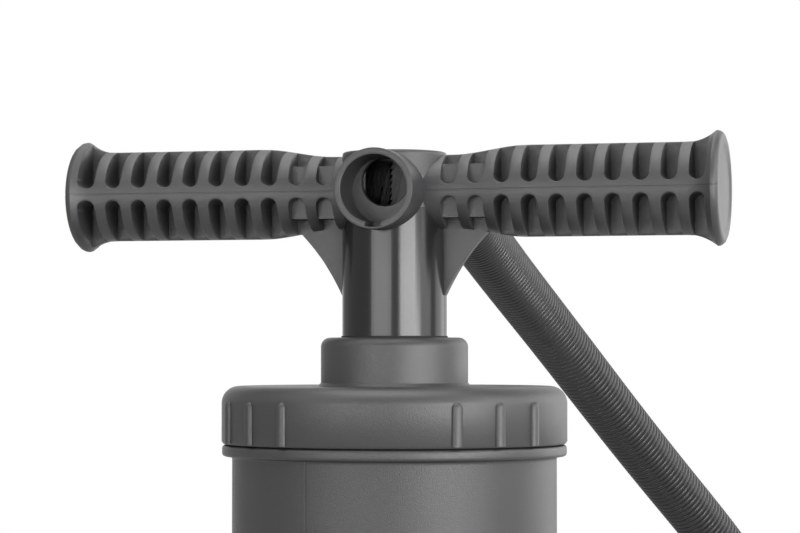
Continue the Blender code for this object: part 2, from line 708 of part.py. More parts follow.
def build_flaps(handle_frame, rubber, finish):
    """Four rubber flaps and their keepers: two on the intake side (front) and two on the hose side."""
    settings = (
        ("inlet_flap_upper", -1, PISTON_UPPER_TOP + CLEAR, FLAP_THICKNESS),
        ("inlet_flap_lower", -1, PISTON_LOW - CLEAR - FLAP_THICKNESS, 0.0),
        ("outlet_flap_upper", 1, PISTON_UPPER_LOW - CLEAR - FLAP_THICKNESS, 0.0),
        ("outlet_flap_lower", 1, PISTON_LOW + PISTON_PLATE + CLEAR, FLAP_THICKNESS),
    )
    hinge_y = FLAP_PORT_OFFSET - FLAP_LENGTH / 2
    half = FLAP_WIDTH / 2
    for name, side, low, opening_face in settings:
        edge = (0, side * hinge_y, low)
        hinge = (0, side * hinge_y, low + opening_face)
        frame = make_frame(name + "_hinge", hinge, handle_frame)
        span = sorted((0.0, side * FLAP_LENGTH))
        flap = block(name, (-half, half), span, (-opening_face, FLAP_THICKNESS - opening_face))
        place(flap, frame, hinge, rubber)
        keeper_span = sorted((-side * CLEAR, -side * (CLEAR + KEEPER_DEPTH)))
        keeper = block(name.replace("flap", "keeper"), (-half, half), keeper_span, (0, FLAP_THICKNESS))
        place(keeper, handle_frame, edge, finish)


def grip_profile():
    """Half of the handle's outline as (radius, distance along the handle), from the middle to one end."""
    end = HANDLE_LENGTH / 2
    flare_start = end - FLARE_RIM - FLARE_LENGTH
    points = [(GRIP_NECK_RADIUS, GRIP_NECK_END)]
    rise = GRIP_RADIUS - GRIP_NECK_RADIUS
    run = GRIP_SWELL_END - GRIP_NECK_END
    for i in range(1, ARC_STEPS + 1):
        t = i / ARC_STEPS
        smooth = t * t * (3 - 2 * t)
        points.append((GRIP_NECK_RADIUS + rise * smooth, GRIP_NECK_END + run * t))
    lift = FLARE_RADIUS - GRIP_RADIUS
    for i in range(ARC_STEPS + 1):
        t = i / ARC_STEPS
        points.append((GRIP_RADIUS + lift * t**2, flare_start + FLARE_LENGTH * t))
    rim = [(FLARE_RADIUS - FLARE_RIM + u, end - FLARE_RIM + v) for u, v in arc((0, 0), FLARE_RIM, 0, 90)]
    return points + rim[1:]


def slot_centres():
    """Distances of the slots' middles from the handle's middle."""
    return [ROD_RADIUS + SLOT_FROM_HUB + SLOT_PITCH * i for i in range(SLOT_COUNT)]


def slot_tools():
    """A tool of every slot: a tongue with a round tip by the spine, open upwards or downwards."""
    reach = FLARE_RADIUS + TOOL_MARGIN
    half = SLOT_WIDTH / 2
    low = SPINE_THICKNESS / 2
    tools = []
    for x_side in (-1, 1):
        for x in slot_centres():
            for up in (-1, 1):
                tip = arc((x_side * x, up * (low + half)), half, 180, 180 + up * 180)
                outline = tip + [(x_side * x + half, up * reach), (x_side * x - half, up * reach)]
                for y_span in ((WEB_THICKNESS / 2, reach), (-reach, -WEB_THICKNESS / 2)):
                    tools.append(turn_mesh(prism("slot", outline, *y_span), (90, "X")))
    return merge_meshes("grip_slots", tools)


def gusset(side):
    """One thin web between a grip and the rod, with a slightly hollow free edge."""
    inner = ROD_RADIUS + CLEAR
    top = -GUSSET_ROOT
    start = Vector((GUSSET_REACH, -GRIP_NECK_RADIUS))
    end = Vector((inner + GUSSET_TIP, -GUSSET_DEPTH))
    normal = Vector((end.y - start.y, start.x - end.x)).normalized()
    edge = []
    for i in range(2 * ARC_STEPS + 1):
        t = i / (2 * ARC_STEPS)
        edge.append(start.lerp(end, t) + normal * GUSSET_SAG * 4 * t * (1 - t))
    outline = [(GUSSET_REACH, top)] + [tuple(p) for p in edge] + [(inner, -GUSSET_DEPTH), (inner, top)]
    outline = [(side * x, z) for x, z in outline]
    thick = GUSSET_THICKNESS / 2
    return turn_mesh(prism("gusset", outline, -thick, thick), (90, "X"))


def along_y(made, side):
    """Turn a Z-axis shape so that +Z points along side times Y."""
    return turn_mesh(made, (-90 * side, "X"))


def half_channel(side):
    """A tool for one half-round air channel through the hub and its spigot."""
    thick = DIVIDER_THICKNESS / 2
    start = math.degrees(math.asin(thick / CHANNEL_RADIUS))
    outline = arc((0, 0), CHANNEL_RADIUS, start, 180 - start, 3 * ARC_STEPS)
    outline = [(x, side * y) for x, y in outline]
    return prism("half_channel", outline, SPIGOT_LOW - HANDLE_Z - TOOL_MARGIN, HUB_RISE - HUB_ROOF)


def lug_track_span():
    """Low and high end of the groove that the bayonet's lug turns in, along the socket."""
    high = SOCKET_REACH - LUG_TRACK_DEPTH
    return high - LUG_LENGTH - 2 * RUNNING_CLEAR, high


def lug_notch(side):
    """A tool for the bayonet's entry notch at the bottom of a socket's rim."""
    half = LUG_WIDTH / 2 + RUNNING_CLEAR
    span = (SOCKET_BORE - TOOL_MARGIN, SOCKET_BORE + LUG_HEIGHT)
    levels = (lug_track_span()[0], SOCKET_REACH + TOOL_MARGIN)
    return along_y(turn_mesh(block("lug_notch", span, (-half, half), levels), (90 * side, "Z")), side)


def lug_groove(side):
    """A tool for the groove behind the rim, from the notch to the locked place."""
    outer = SOCKET_BORE + LUG_HEIGHT
    inner = SOCKET_BORE - TOOL_MARGIN
    extra = math.asin((LUG_WIDTH / 2 + RUNNING_CLEAR) / outer)
    steps = 2 * ARC_STEPS
    angles = [(LUG_TURN + extra) * i / steps for i in range(steps + 1)]
    outline = [(outer * math.cos(a), outer * math.sin(a)) for a in angles]
    outline += [(inner * math.cos(a), inner * math.sin(a)) for a in reversed(angles)]
    return along_y(turn_mesh(prism("lug_groove", outline, *lug_track_span()), (90 * side, "Z")), side)


def socket_bore(side):
    """A tool for one socket's bore."""
    bore = rod_solid("socket_bore", SOCKET_BORE, SOCKET_FLOOR, SOCKET_REACH + TOOL_MARGIN, SIDES_ROD)
    return along_y(bore, side)


def air_hole(side):
    """A tool for the off-centre hole from a socket's floor into its air channel."""
    hole = rod_solid("air_hole", AIR_HOLE_RADIUS, DIVIDER_THICKNESS, SOCKET_REACH, SIDES_ROD)
    return shift_mesh(along_y(hole, side), (0, 0, AIR_HOLE_RISE))


def build_handle(frame, finish):
    """The T-handle: slotted grips, hub, two bayonet sockets, spigot and gussets in one moulding."""
    half = grip_profile()
    profile = [(0.0, HANDLE_LENGTH / 2)] + [(r, d) for r, d in reversed(half)]
    profile += [(r, -d) for r, d in half] + [(0.0, -HANDLE_LENGTH / 2)]
    handle = turn_mesh(turned("handle", profile, SIDES_GRIP), (90, "Y"))
    cut(handle, slot_tools())
    core_end = slot_centres()[CORE_SLOTS - 1] + SLOT_PITCH / 2
    depth, height = CORE_HALF_DEPTH, CORE_HALF_HEIGHT
    add(handle, block("grip_core", (-core_end, core_end), (-depth, depth), (-height, height)))
    hub = [(0.0, HUB_RISE), (ROD_RADIUS - HUB_EDGE, HUB_RISE), (ROD_RADIUS, HUB_RISE - HUB_EDGE)]
    hub += [(ROD_RADIUS, -HUB_DROP), (SPIGOT_RADIUS, -HUB_DROP)]
    hub += [(SPIGOT_RADIUS, SPIGOT_LOW - HANDLE_Z), (0.0, SPIGOT_LOW - HANDLE_Z)]
    add(handle, turned("hub", hub, SIDES_ROD))
    add(handle, merge_meshes("gussets", [gusset(-1), gusset(1)]))
    add(handle, along_y(rod_solid("sockets", SOCKET_RADIUS, -SOCKET_REACH, SOCKET_REACH, SIDES_ROD), 1))
    for name, tool in (
        ("air_channels", half_channel),
        ("socket_bores", socket_bore),
        ("air_holes", air_hole),
        ("lug_notches", lug_notch),
        ("lug_grooves", lug_groove),
    ):
        cut(handle, merge_meshes(name, [tool(-1), tool(1)]))
    return place(handle, frame, (0, 0, HANDLE_Z), finish)


def cuff_sleeve_profile(collar_low):
    """Outer outline of a cuff from its collar to its mouth, as (radius, height)."""
    collar = max(SOCKET_RADIUS, CUFF_RADIUS + CUFF_COLLAR_PROUD)
    sleeve_low = collar_low + CUFF_COLLAR_LENGTH
    mouth = sleeve_low + CUFF_SLEEVE_LENGTH
    points = [(collar, collar_low), (collar, sleeve_low)]
    step = CUFF_SLEEVE_LENGTH / (CUFF_RIDGES + 1)
    for i in range(CUFF_RIDGES):
        middle = sleeve_low + step * (i + CUFF_RIDGE_MIDDLE)
        points += [
            (CUFF_RADIUS, middle - step * CUFF_RIDGE_FOOT),
            (CUFF_RADIUS + CUFF_COLLAR_PROUD, middle - step * CUFF_RIDGE_CREST),
            (CUFF_RADIUS + CUFF_COLLAR_PROUD, middle + step * CUFF_RIDGE_CREST),
            (CUFF_RADIUS, middle + step * CUFF_RIDGE_FOOT),
        ]
    return points + [(CUFF_RADIUS, mouth), (HOSE_RADIUS + CLEAR, mouth)]


def build_connector(frame, finish):
    """The bayonet connector: plug and lug in the rear socket, collar, and the sleeve round the hose's end."""
    plug_low = SOCKET_FLOOR + PLUG_END_GAP
    collar_low = SOCKET_REACH + RUNNING_CLEAR
    bore = PLUG_RADIUS - PLUG_WALL
    shoulder = collar_low + CUFF_COLLAR_LENGTH
    profile = [(bore, plug_low), (PLUG_RADIUS, plug_low), (PLUG_RADIUS, collar_low)]
    profile += cuff_sleeve_profile(collar_low)
    profile += [(HOSE_RADIUS + CLEAR, shoulder), (bore, shoulder)]
    connector = turned("hose_connector", profile, SIDES_ROD)
    lug_low = lug_track_span()[0] + RUNNING_CLEAR
    half = LUG_WIDTH / 2
    inner = PLUG_RADIUS - PLUG_WALL / 2
    outer = SOCKET_BORE + LUG_HEIGHT - RUNNING_CLEAR
    lug = block("connector_lug", (inner, outer), (-half, half), (lug_low, lug_low + LUG_LENGTH))
    turn_mesh(lug, (90 + math.degrees(LUG_TURN), "Z"))
    add(along_y(connector, 1), along_y(lug, 1))
    return place(connector, frame, (0, 0, HANDLE_Z), finish)


def natural_spline(knots, per_span):
    """A smooth curve through points: a cubic spline with free ends, over chord length."""
    points = np.array(knots, dtype=float)
    at = np.concatenate([[0.0], np.cumsum(np.linalg.norm(np.diff(points, axis=0), axis=1))])
    gaps = np.diff(at)
    count = len(points)
    system = np.eye(count)
    right = np.zeros_like(points)
    slopes = np.diff(points, axis=0) / gaps[:, None]
    for i in range(1, count - 1):
        system[i, i - 1 : i + 2] = gaps[i - 1], 2 * (gaps[i - 1] + gaps[i]), gaps[i]
        right[i] = 6 * (slopes[i] - slopes[i - 1])
    bend = np.linalg.solve(system, right)
    curve = []
    for i in range(count - 1):
        for u in np.linspace(0, gaps[i], per_span, endpoint=False):
            v = gaps[i] - u
            near = (points[i] / gaps[i] - bend[i] * gaps[i] / 6) * v + bend[i] * v**3 / (6 * gaps[i])
            far = (points[i + 1] / gaps[i] - bend[i + 1] * gaps[i] / 6) * u
            curve.append(near + far + bend[i + 1] * u**3 / (6 * gaps[i]))
    curve.append(points[-1])
    return np.array(curve)


def hose_route():
    """The hose's centre line: straight out of the connector, down to the floor and round to the nozzle."""
    start = Vector((0.0, HOSE_START_Y, HANDLE_Z))
    straight = 2 * HOSE_RADIUS
    out = [start, start + Vector((0, straight, 0))]
    last = Vector(HOSE_ROUTE[-1])
    tail = last + Vector((0, -straight, 0))
    knots = [tuple(p) for p in out] + list(HOSE_ROUTE) + [tuple(tail)]
    return natural_spline(knots, HOSE_SPAN_STEPS)


def spaced(curve, count):
    """Points evenly spaced along a curve."""
    at = np.concatenate([[0.0], np.cumsum(np.linalg.norm(np.diff(curve, axis=0), axis=1))])
    wanted = np.linspace(0, at[-1], count)
    return np.stack([np.interp(wanted, at, curve[:, k]) for k in range(3)], axis=1), at[-1]


def tube(name, points, radii):
    """A round tube with filled ends along points."""
    curve = bpy.data.curves.new(name, "CURVE")
    curve.dimensions = "3D"
    curve.bevel_depth = 1.0
    curve.bevel_resolution = HOSE_ROUND_STEPS
    curve.use_fill_caps = True
    spline = curve.splines.new("POLY")
    spline.points.add(len(points) - 1)
    for knot, place_at, radius in zip(spline.points, points, radii):
        knot.co = (*place_at, 1.0)
        knot.radius = radius
    made = bpy.data.objects.new(name, curve)
    bpy.context.scene.collection.objects.link(made)
    return made


def build_hose(frame, finish):
    """The ribbed hose with its bore."""
    curve = hose_route()
    count = 2 * HOSE_RIBS + 1
    points, length = spaced(curve, count)
    radii = [HOSE_RADIUS - HOSE_GROOVE * (i % 2) for i in range(count)]
    outside = tube("hose_outside", points, radii)
    inside_points, _ = spaced(curve, HOSE_BORE_POINTS)
    inside_points[0] += (inside_points[0] - inside_points[1]) * HOSE_BORE_OVERRUN
    inside_points[-1] += (inside_points[-1] - inside_points[-2]) * HOSE_BORE_OVERRUN
    inside = tube("hose_inside", inside_points, [HOSE_BORE] * HOSE_BORE_POINTS)
    bpy.context.view_layer.update()
    depsgraph = bpy.context.evaluated_depsgraph_get()
    solids = []
    for source, name in ((outside, "air_hose"), (inside, "hose_bore")):
        mesh = bpy.data.meshes.new_from_object(source.evaluated_get(depsgraph))
        mesh.name = name
        bm = bmesh.new()
        bm.from_mesh(mesh)
        bmesh.ops.remove_doubles(bm, verts=bm.verts, dist=MERGE_DISTANCE)
        solids.append(mesh_object(name, bm))
        bpy.data.objects.remove(source, do_unlink=True)
    hose, bore = solids
    cut(hose, bore)
    print(f"hose length {length:.3f} m")
    return place(hose, frame, (0, 0, 0), finish)


def build_nozzle(frame, finish):
    """The cuff on the hose's free end and the stepped nozzle pushed into it, lying on the floor."""
    end = Vector(HOSE_ROUTE[-1]) + Vector((0, -2 * HOSE_RADIUS, 0))
    bore = HOSE_BORE
    collar_low = -CUFF_COLLAR_LENGTH - CLEAR
    profile = [(bore, collar_low)] + cuff_sleeve_profile(collar_low)
    profile += [(HOSE_RADIUS + CLEAR, -CLEAR), (bore, -CLEAR)]
    cuff = turned("hose_end_cuff", profile, SIDES_ROD)
    place(along_y(cuff, 1), frame, end, finish)
    flange = SOCKET_RADIUS
    plug = bore - CLEAR
    inner = NOZZLE_STEPS[-1][0] - NOZZLE_WALL
    top = collar_low - CLEAR
    outline = [(inner, collar_low + NOZZLE_PLUG), (plug, collar_low + NOZZLE_PLUG), (plug, top)]
    outline += [(flange, top), (flange, top - NOZZLE_WALL)]
    level = top - NOZZLE_WALL
    for radius, length in NOZZLE_STEPS:
        outline += [(radius, level), (radius - NOZZLE_TAPER, level - length)]
        level -= length
    outline += [(inner, level)]
    nozzle = turned("nozzle", outline, SIDES_SMALL)
    place(along_y(nozzle, 1), frame, end, finish)


def main():
    """Build every piece of the pump."""
    clear_scene()
    shell = make_material("moulded_grey", DARK_GREY, roughness=0.50)
    gloss = make_material("gloss_black_rod", BLACK_GLOSS, roughness=0.12)
    hose_finish = make_material("hose_grey", HOSE_GREY, roughness=0.45)
    rubber = make_material("black_rubber", RUBBER_BLACK, roughness=0.80)
    guide_finish = make_material("guide_plastic", SEAL_GREY, roughness=0.45)
    steel = make_material("screw_steel", STEEL, roughness=0.30, metallic=1.0)
    barrel_frame = make_frame("barrel_frame", (0, 0, 0))
    guide_frame = make_frame("swivel_axis", (0, 0, NECK_TOP), barrel_frame)
    handle_frame = make_frame("stroke_axis", (0, 0, HANDLE_Z), guide_frame)
    twist_frame = make_frame("bayonet_axis", (0, SOCKET_REACH, HANDLE_Z), handle_frame)
    build_base(barrel_frame, shell)
    build_base_fittings(barrel_frame, rubber, steel)
    build_barrel(barrel_frame, shell, rubber)
    build_cap(barrel_frame, shell)
    build_cap_fittings(barrel_frame, guide_frame, rubber, guide_finish, steel)
    build_rod(handle_frame, gloss, guide_finish)
    build_piston(handle_frame, guide_finish, rubber, steel)
    build_flaps(handle_frame, rubber, guide_finish)
    build_handle(handle_frame, shell)
    build_connector(twist_frame, shell)
    build_hose(guide_frame, hose_finish)
    build_nozzle(guide_frame, shell)


main()
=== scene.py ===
import json
import logging
import math
from collections.abc import Callable
from dataclasses import dataclass, field
from enum import Enum

import bmesh
import bpy
import numpy as np
from mathutils import Euler, Matrix, Vector

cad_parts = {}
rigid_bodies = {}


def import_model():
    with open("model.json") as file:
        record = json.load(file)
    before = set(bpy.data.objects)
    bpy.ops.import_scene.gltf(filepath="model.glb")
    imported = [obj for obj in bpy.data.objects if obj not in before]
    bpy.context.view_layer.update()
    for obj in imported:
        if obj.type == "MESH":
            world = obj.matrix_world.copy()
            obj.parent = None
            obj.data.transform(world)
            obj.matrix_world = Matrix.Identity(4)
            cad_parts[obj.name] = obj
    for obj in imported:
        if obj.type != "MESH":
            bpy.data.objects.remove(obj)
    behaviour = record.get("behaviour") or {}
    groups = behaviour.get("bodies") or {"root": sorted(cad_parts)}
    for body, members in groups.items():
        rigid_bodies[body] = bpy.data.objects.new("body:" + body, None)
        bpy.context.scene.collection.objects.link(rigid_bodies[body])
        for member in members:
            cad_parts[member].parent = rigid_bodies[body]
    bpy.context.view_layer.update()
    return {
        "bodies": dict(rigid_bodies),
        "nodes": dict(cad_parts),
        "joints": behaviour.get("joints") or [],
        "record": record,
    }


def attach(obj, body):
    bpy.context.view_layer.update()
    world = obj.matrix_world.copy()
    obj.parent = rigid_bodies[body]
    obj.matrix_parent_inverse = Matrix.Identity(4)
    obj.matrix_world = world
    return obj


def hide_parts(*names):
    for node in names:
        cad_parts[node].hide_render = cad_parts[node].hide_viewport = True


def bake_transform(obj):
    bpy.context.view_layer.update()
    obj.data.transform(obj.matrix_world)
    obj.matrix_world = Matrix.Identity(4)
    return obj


LOG = logging.getLogger("hand_pump")

Point = tuple[float, float, float]
Flat = tuple[float, float]
Colour = tuple[float, float, float]

CLEAR = 0.0003
RUNNING_CLEAR = 0.0004
HANDLE_Z = 0.3506
ROD_RADIUS = 0.0169
SHARP_DEGREES = 38.0
FINE_SIDES = 96
WIDE_SIDES = 160
SMALL_SIDES = 48
ARC_STEPS = 5
ROUND_STEPS = 6
ON_AXIS = 1e-5
HAIR = 1e-6
WELD = 1e-7
STRAIGHT_DEGREES = 172.0
FOLDED_ANGLE = 1e-3
CORNER_SHARE = 0.45
WHITE = (1.0, 1.0, 1.0, 1.0)


class Side(Enum):
    """The two ends of the handle and of the base."""

    LEFT = -1
    RIGHT = 1


class Way(Enum):
    """The two sockets of the hub: the open one in front and the hose's one at the rear."""

    FRONT = -1
    REAR = 1


def fillet(points: list[Flat], radius: float, closed: bool = False) -> list[Flat]:
    """Round the corners of a flat line.

    Args:
        points: the line's corners.
        radius: the rounding, which shrinks where a side is too short for it.
        closed: whether the last corner joins the first.

    Returns:
        The rounded line.
    """
    count = len(points)
    made: list[Flat] = []
    for i, here in enumerate(points):
        if not closed and i in (0, count - 1):
            made.append(here)
            continue
        corner = Vector(here)
        before = Vector(points[i - 1]) - corner
        after = Vector(points[(i + 1) % count]) - corner
        turn = before.angle(after)
        if turn > math.radians(STRAIGHT_DEGREES) or turn < FOLDED_ANGLE:
            made.append(here)
            continue
        room = min(before.length, after.length) * CORNER_SHARE
        tangent = min(radius / math.tan(turn / 2), room)
        start = corner + before.normalized() * tangent
        end = corner + after.normalized() * tangent
        for step in range(ARC_STEPS + 1):
            t = step / ARC_STEPS
            made.append(tuple((1 - t) ** 2 * start + 2 * t * (1 - t) * corner + t * t * end))
    return made


def arc(centre: Flat, radius: float, start: float, end: float, steps: int = 12) -> list[Flat]:
    """Points of a flat arc.

    Args:
        centre: the arc's middle.
        radius: its radius.
        start: first angle in degrees.
        end: last angle in degrees.
        steps: number of chords.

    Returns:
        The points, both ends included.
    """
    angles = [math.radians(start + (end - start) * i / steps) for i in range(steps + 1)]
    return [(centre[0] + radius * math.cos(a), centre[1] + radius * math.sin(a)) for a in angles]


@dataclass
class Solid:
    """A closed shape as plain points and faces, before it becomes an object."""

    points: list[Point] = field(default_factory=list)
    faces: list[tuple[int, ...]] = field(default_factory=list)

    @classmethod
    def loft(cls, rings: list[list[Point]], caps: bool = True, hoop: bool = False) -> "Solid":
        """Skin a row of rings of equal length.

        Args:
            rings: closed rings of points.
            caps: whether the first and last ring are filled.
            hoop: whether the last ring joins the first.

        Returns:
            The skinned shape.
        """
        width = len(rings[0])
        made = cls([p for ring in rings for p in ring])
        pairs = list(zip(range(len(rings) - 1), range(1, len(rings))))
        if hoop:
            pairs.append((len(rings) - 1, 0))
        for a, b in pairs:
            for i in range(width):
                j = (i + 1) % width
                made.faces.append((a * width + i, a * width + j, b * width + j, b * width + i))
        if caps and not hoop:
            made.faces.append(tuple(reversed(range(width))))
            last = (len(rings) - 1) * width
            made.faces.append(tuple(range(last, last + width)))
        return made

    @classmethod
    def turned(cls, profile: list[Flat], sides: int = FINE_SIDES, hoop: bool = False) -> "Solid":
        """Turn a profile about Z.

        Args:
            profile: (radius, height) points.
            sides: number of facets.
            hoop: whether the profile is a closed loop off the axis.

        Returns:
            The turned shape.
        """
        angles = [math.tau * i / sides for i in range(sides)]
        rings = [[(r * math.cos(a), r * math.sin(a), z) for a in angles] for r, z in profile]
        return cls.loft(rings, caps=True, hoop=hoop)

    @classmethod
    def plate(cls, outline: list[Flat], low: float, high: float, edge: float = 0.0) -> "Solid":
        """Extrude a flat outline along Z, with a soft edge.

        Args:
            outline: anticlockwise points.
            low: lower level.
            high: upper level.
            edge: size of the soft edge.

        Returns:
            The plate.
        """
        middle = sum((Vector(p) for p in outline), Vector((0.0, 0.0))) / len(outline)
        rings = []
        bends = [math.pi / 2 * i / ARC_STEPS for i in range(ARC_STEPS + 1)]
        levels = [(low + edge * (1 - math.cos(a)), edge * (1 - math.sin(a))) for a in bends]
        levels += [(high - edge * (1 - math.sin(a)), edge * (1 - math.cos(a))) for a in bends]
        for level, inset in levels if edge else [(low, 0.0), (high, 0.0)]:
            ring = []
            for x, y in outline:
                spoke = Vector((x, y)) - middle
                shrunk = middle + spoke * max(0.0, 1 - inset / max(spoke.length, HAIR))
                ring.append((shrunk.x, shrunk.y, level))
            rings.append(ring)
        return cls.loft(rings)

    def moved(self, *moves: Matrix) -> "Solid":
        """Return a copy under one matrix after another.

        Args:
            moves: the matrices, in order.

        Returns:
            The moved shape.
        """
        made = list(self.points)
        for move in moves:
            made = [tuple(move @ Vector(p)) for p in made]
        return Solid(made, list(self.faces))

    def joined(self, *others: "Solid") -> "Solid":
        """Return one shape that holds this one and others.

        Args:
            others: the shapes to add.

        Returns:
            The shape with all their points and faces.
        """
        made = Solid(list(self.points), list(self.faces))
        for other in others:
            start = len(made.points)
            made.points += other.points
            made.faces += [tuple(start + i for i in face) for face in other.faces]
        return made

    def piece(self, name: str) -> bpy.types.Object:
        """Make the shape an object of the scene, with soft shading and hard corners.

        Args:
            name: the object's name.

        Returns:
            The new object, linked to the scene.
        """
        mesh = bpy.data.meshes.new(name)
        mesh.from_pydata(self.points, [], self.faces)
        bm = bmesh.new()
        bm.from_mesh(mesh)
        bmesh.ops.remove_doubles(bm, verts=bm.verts, dist=WELD)
        bmesh.ops.recalc_face_normals(bm, faces=bm.faces)
        bm.to_mesh(mesh)
        bm.free()
        made = bpy.data.objects.new(name, mesh)
        bpy.context.scene.collection.objects.link(made)
        shade(made)
        return made


def shade(piece: bpy.types.Object) -> None:
    """Shade a piece softly and keep its corners hard."""
    piece.data.shade_smooth()
    piece.data.set_sharp_from_angle(angle=math.radians(SHARP_DEGREES))


def carve(piece: bpy.types.Object, tool: Solid) -> bpy.types.Object:
    """Take a shape out of a piece for good.

    Args:
        piece: the piece to cut.
        tool: the shape to take out.

    Returns:
        The same piece with its new mesh.
    """
    cutter = tool.piece(piece.name + "_tool")
    step = piece.modifiers.new("carve", "BOOLEAN")
    step.operation = "DIFFERENCE"
    step.object = cutter
    bpy.context.view_layer.update()
    cut = bpy.data.meshes.new_from_object(piece.evaluated_get(bpy.context.evaluated_depsgraph_get()))
    piece.modifiers.clear()
    piece.data = cut
    bpy.data.objects.remove(cutter, do_unlink=True)
    shade(piece)
    return piece


def merge(piece: bpy.types.Object, other: bpy.types.Object) -> None:
    """Put another piece's mesh into a piece, and delete the other one.

    Args:
        piece: the piece that stays.
        other: the piece whose mesh goes into it.
    """
    bm = bmesh.new()
    bm.from_mesh(piece.data)
    bm.from_mesh(other.data)
    bm.to_mesh(piece.data)
    bm.free()
    bpy.data.objects.remove(other, do_unlink=True)


def turn(degrees: float, axis: str) -> Matrix:
    """Return a turn about a main axis."""
    return Matrix.Rotation(math.radians(degrees), 4, axis)


def shift(x: float, y: float, z: float) -> Matrix:
    """Return a move."""
    return Matrix.Translation((x, y, z))


def along_y(way: Way) -> Matrix:
    """Return the turn that lays a shape's +Z along the front or the rear."""
    return turn(-90 * way.value, "X")


def add_node(
    tree: bpy.types.NodeTree, kind: str, given: dict[str | int, object], **settings: object
) -> bpy.types.Node:
    """Add a shader node.

    Args:
        tree: the node tree.
        kind: the node's type.
        given: its inputs, as sockets to link or plain values.
        settings: its own settings.

    Returns:
        The node.
    """
    node = tree.nodes.new(kind)
    for name, value in settings.items():
        setattr(node, name, value)
    for name, value in given.items():
        if isinstance(value, bpy.types.NodeSocket):
            tree.links.new(value, node.inputs[name])
        else:
            node.inputs[name].default_value = value
    return node


def maths(tree: bpy.types.NodeTree, operation: str, *given: object) -> bpy.types.NodeSocket:
    """Add a math node on sockets or numbers, and return its result."""
    node = add_node(tree, "ShaderNodeMath", dict(enumerate(given)), operation=operation)
    return node.outputs["Value"]


@dataclass
class SurfaceGroups:
    """The shader node groups that the finishes share."""

    grain_detail: float = 3.0
    grain_roughness: float = 0.65
    cloud_detail: float = 5.0
    speck_scale: float = 900.0
    speck_detail: float = 2.0
    middle: float = 0.5

    def __post_init__(self) -> None:
        """Build each group once."""
        self.grain = self._grain()
        self.mottle = self._mottle()

    @staticmethod
    def _sockets(tree: bpy.types.NodeTree, way: str, sockets: dict[str, str]) -> None:
        """Give a group its named sockets."""
        for name, kind in sockets.items():
            tree.interface.new_socket(name=name, in_out=way, socket_type=kind)

    @staticmethod
    def _noise(tree: bpy.types.NodeTree, given: dict[str, object]) -> bpy.types.NodeSocket:
        """Add a noise in the object's own space, and return its value."""
        place = tree.nodes.new("ShaderNodeTexCoord").outputs["Object"]
        return add_node(tree, "ShaderNodeTexNoise", {"Vector": place, **given}).outputs["Fac"]

    def _grain(self) -> bpy.types.NodeTree:
        """Build the fine pebbled mould texture: a height for a bump.

        Returns:
            The node group.
        """
        tree = bpy.data.node_groups.new("mould_grain", "ShaderNodeTree")
        self._sockets(tree, "INPUT", {"Scale": "NodeSocketFloat", "Depth": "NodeSocketFloat"})
        self._sockets(tree, "OUTPUT", {"Height": "NodeSocketFloat"})
        source, out = tree.nodes.new("NodeGroupInput"), tree.nodes.new("NodeGroupOutput")
        given = {"Detail": self.grain_detail, "Roughness": self.grain_roughness}
        noise = self._noise(tree, {"Scale": source.outputs["Scale"], **given})
        deep = maths(tree, "MULTIPLY", noise, source.outputs["Depth"])
        tree.links.new(deep, out.inputs["Height"])
        return tree

    def _mottle(self) -> bpy.types.NodeTree:
        """Build the slow change of colour and shine that handling and moulding leave.

        Returns:
            The node group.
        """
        tree = bpy.data.node_groups.new("handling_mottle", "ShaderNodeTree")
        given = {"Colour": "NodeSocketColor", "Worn Colour": "NodeSocketColor", "Scale": "NodeSocketFloat"}
        given |= {"Amount": "NodeSocketFloat", "Roughness": "NodeSocketFloat", "Spread": "NodeSocketFloat"}
        self._sockets(tree, "INPUT", given)
        self._sockets(tree, "OUTPUT", {"Colour": "NodeSocketColor", "Roughness": "NodeSocketFloat"})
        group, out = tree.nodes.new("NodeGroupInput"), tree.nodes.new("NodeGroupOutput")
        source = group.outputs
        cloud = self._noise(tree, {"Scale": source["Scale"], "Detail": self.cloud_detail})
        speck = self._noise(tree, {"Scale": self.speck_scale, "Detail": self.speck_detail})
        share = maths(tree, "MULTIPLY", maths(tree, "MULTIPLY", cloud, speck), source["Amount"])
        colours = {"Factor": share, "A": source["Colour"], "B": source["Worn Colour"]}
        mix = add_node(tree, "ShaderNodeMix", colours, data_type="RGBA")
        centred = maths(tree, "SUBTRACT", cloud, self.middle)
        rough = maths(tree, "MULTIPLY_ADD", centred, source["Spread"], source["Roughness"])
        tree.links.new(mix.outputs["Result"], out.inputs["Colour"])
        tree.links.new(rough, out.inputs["Roughness"])
        return tree


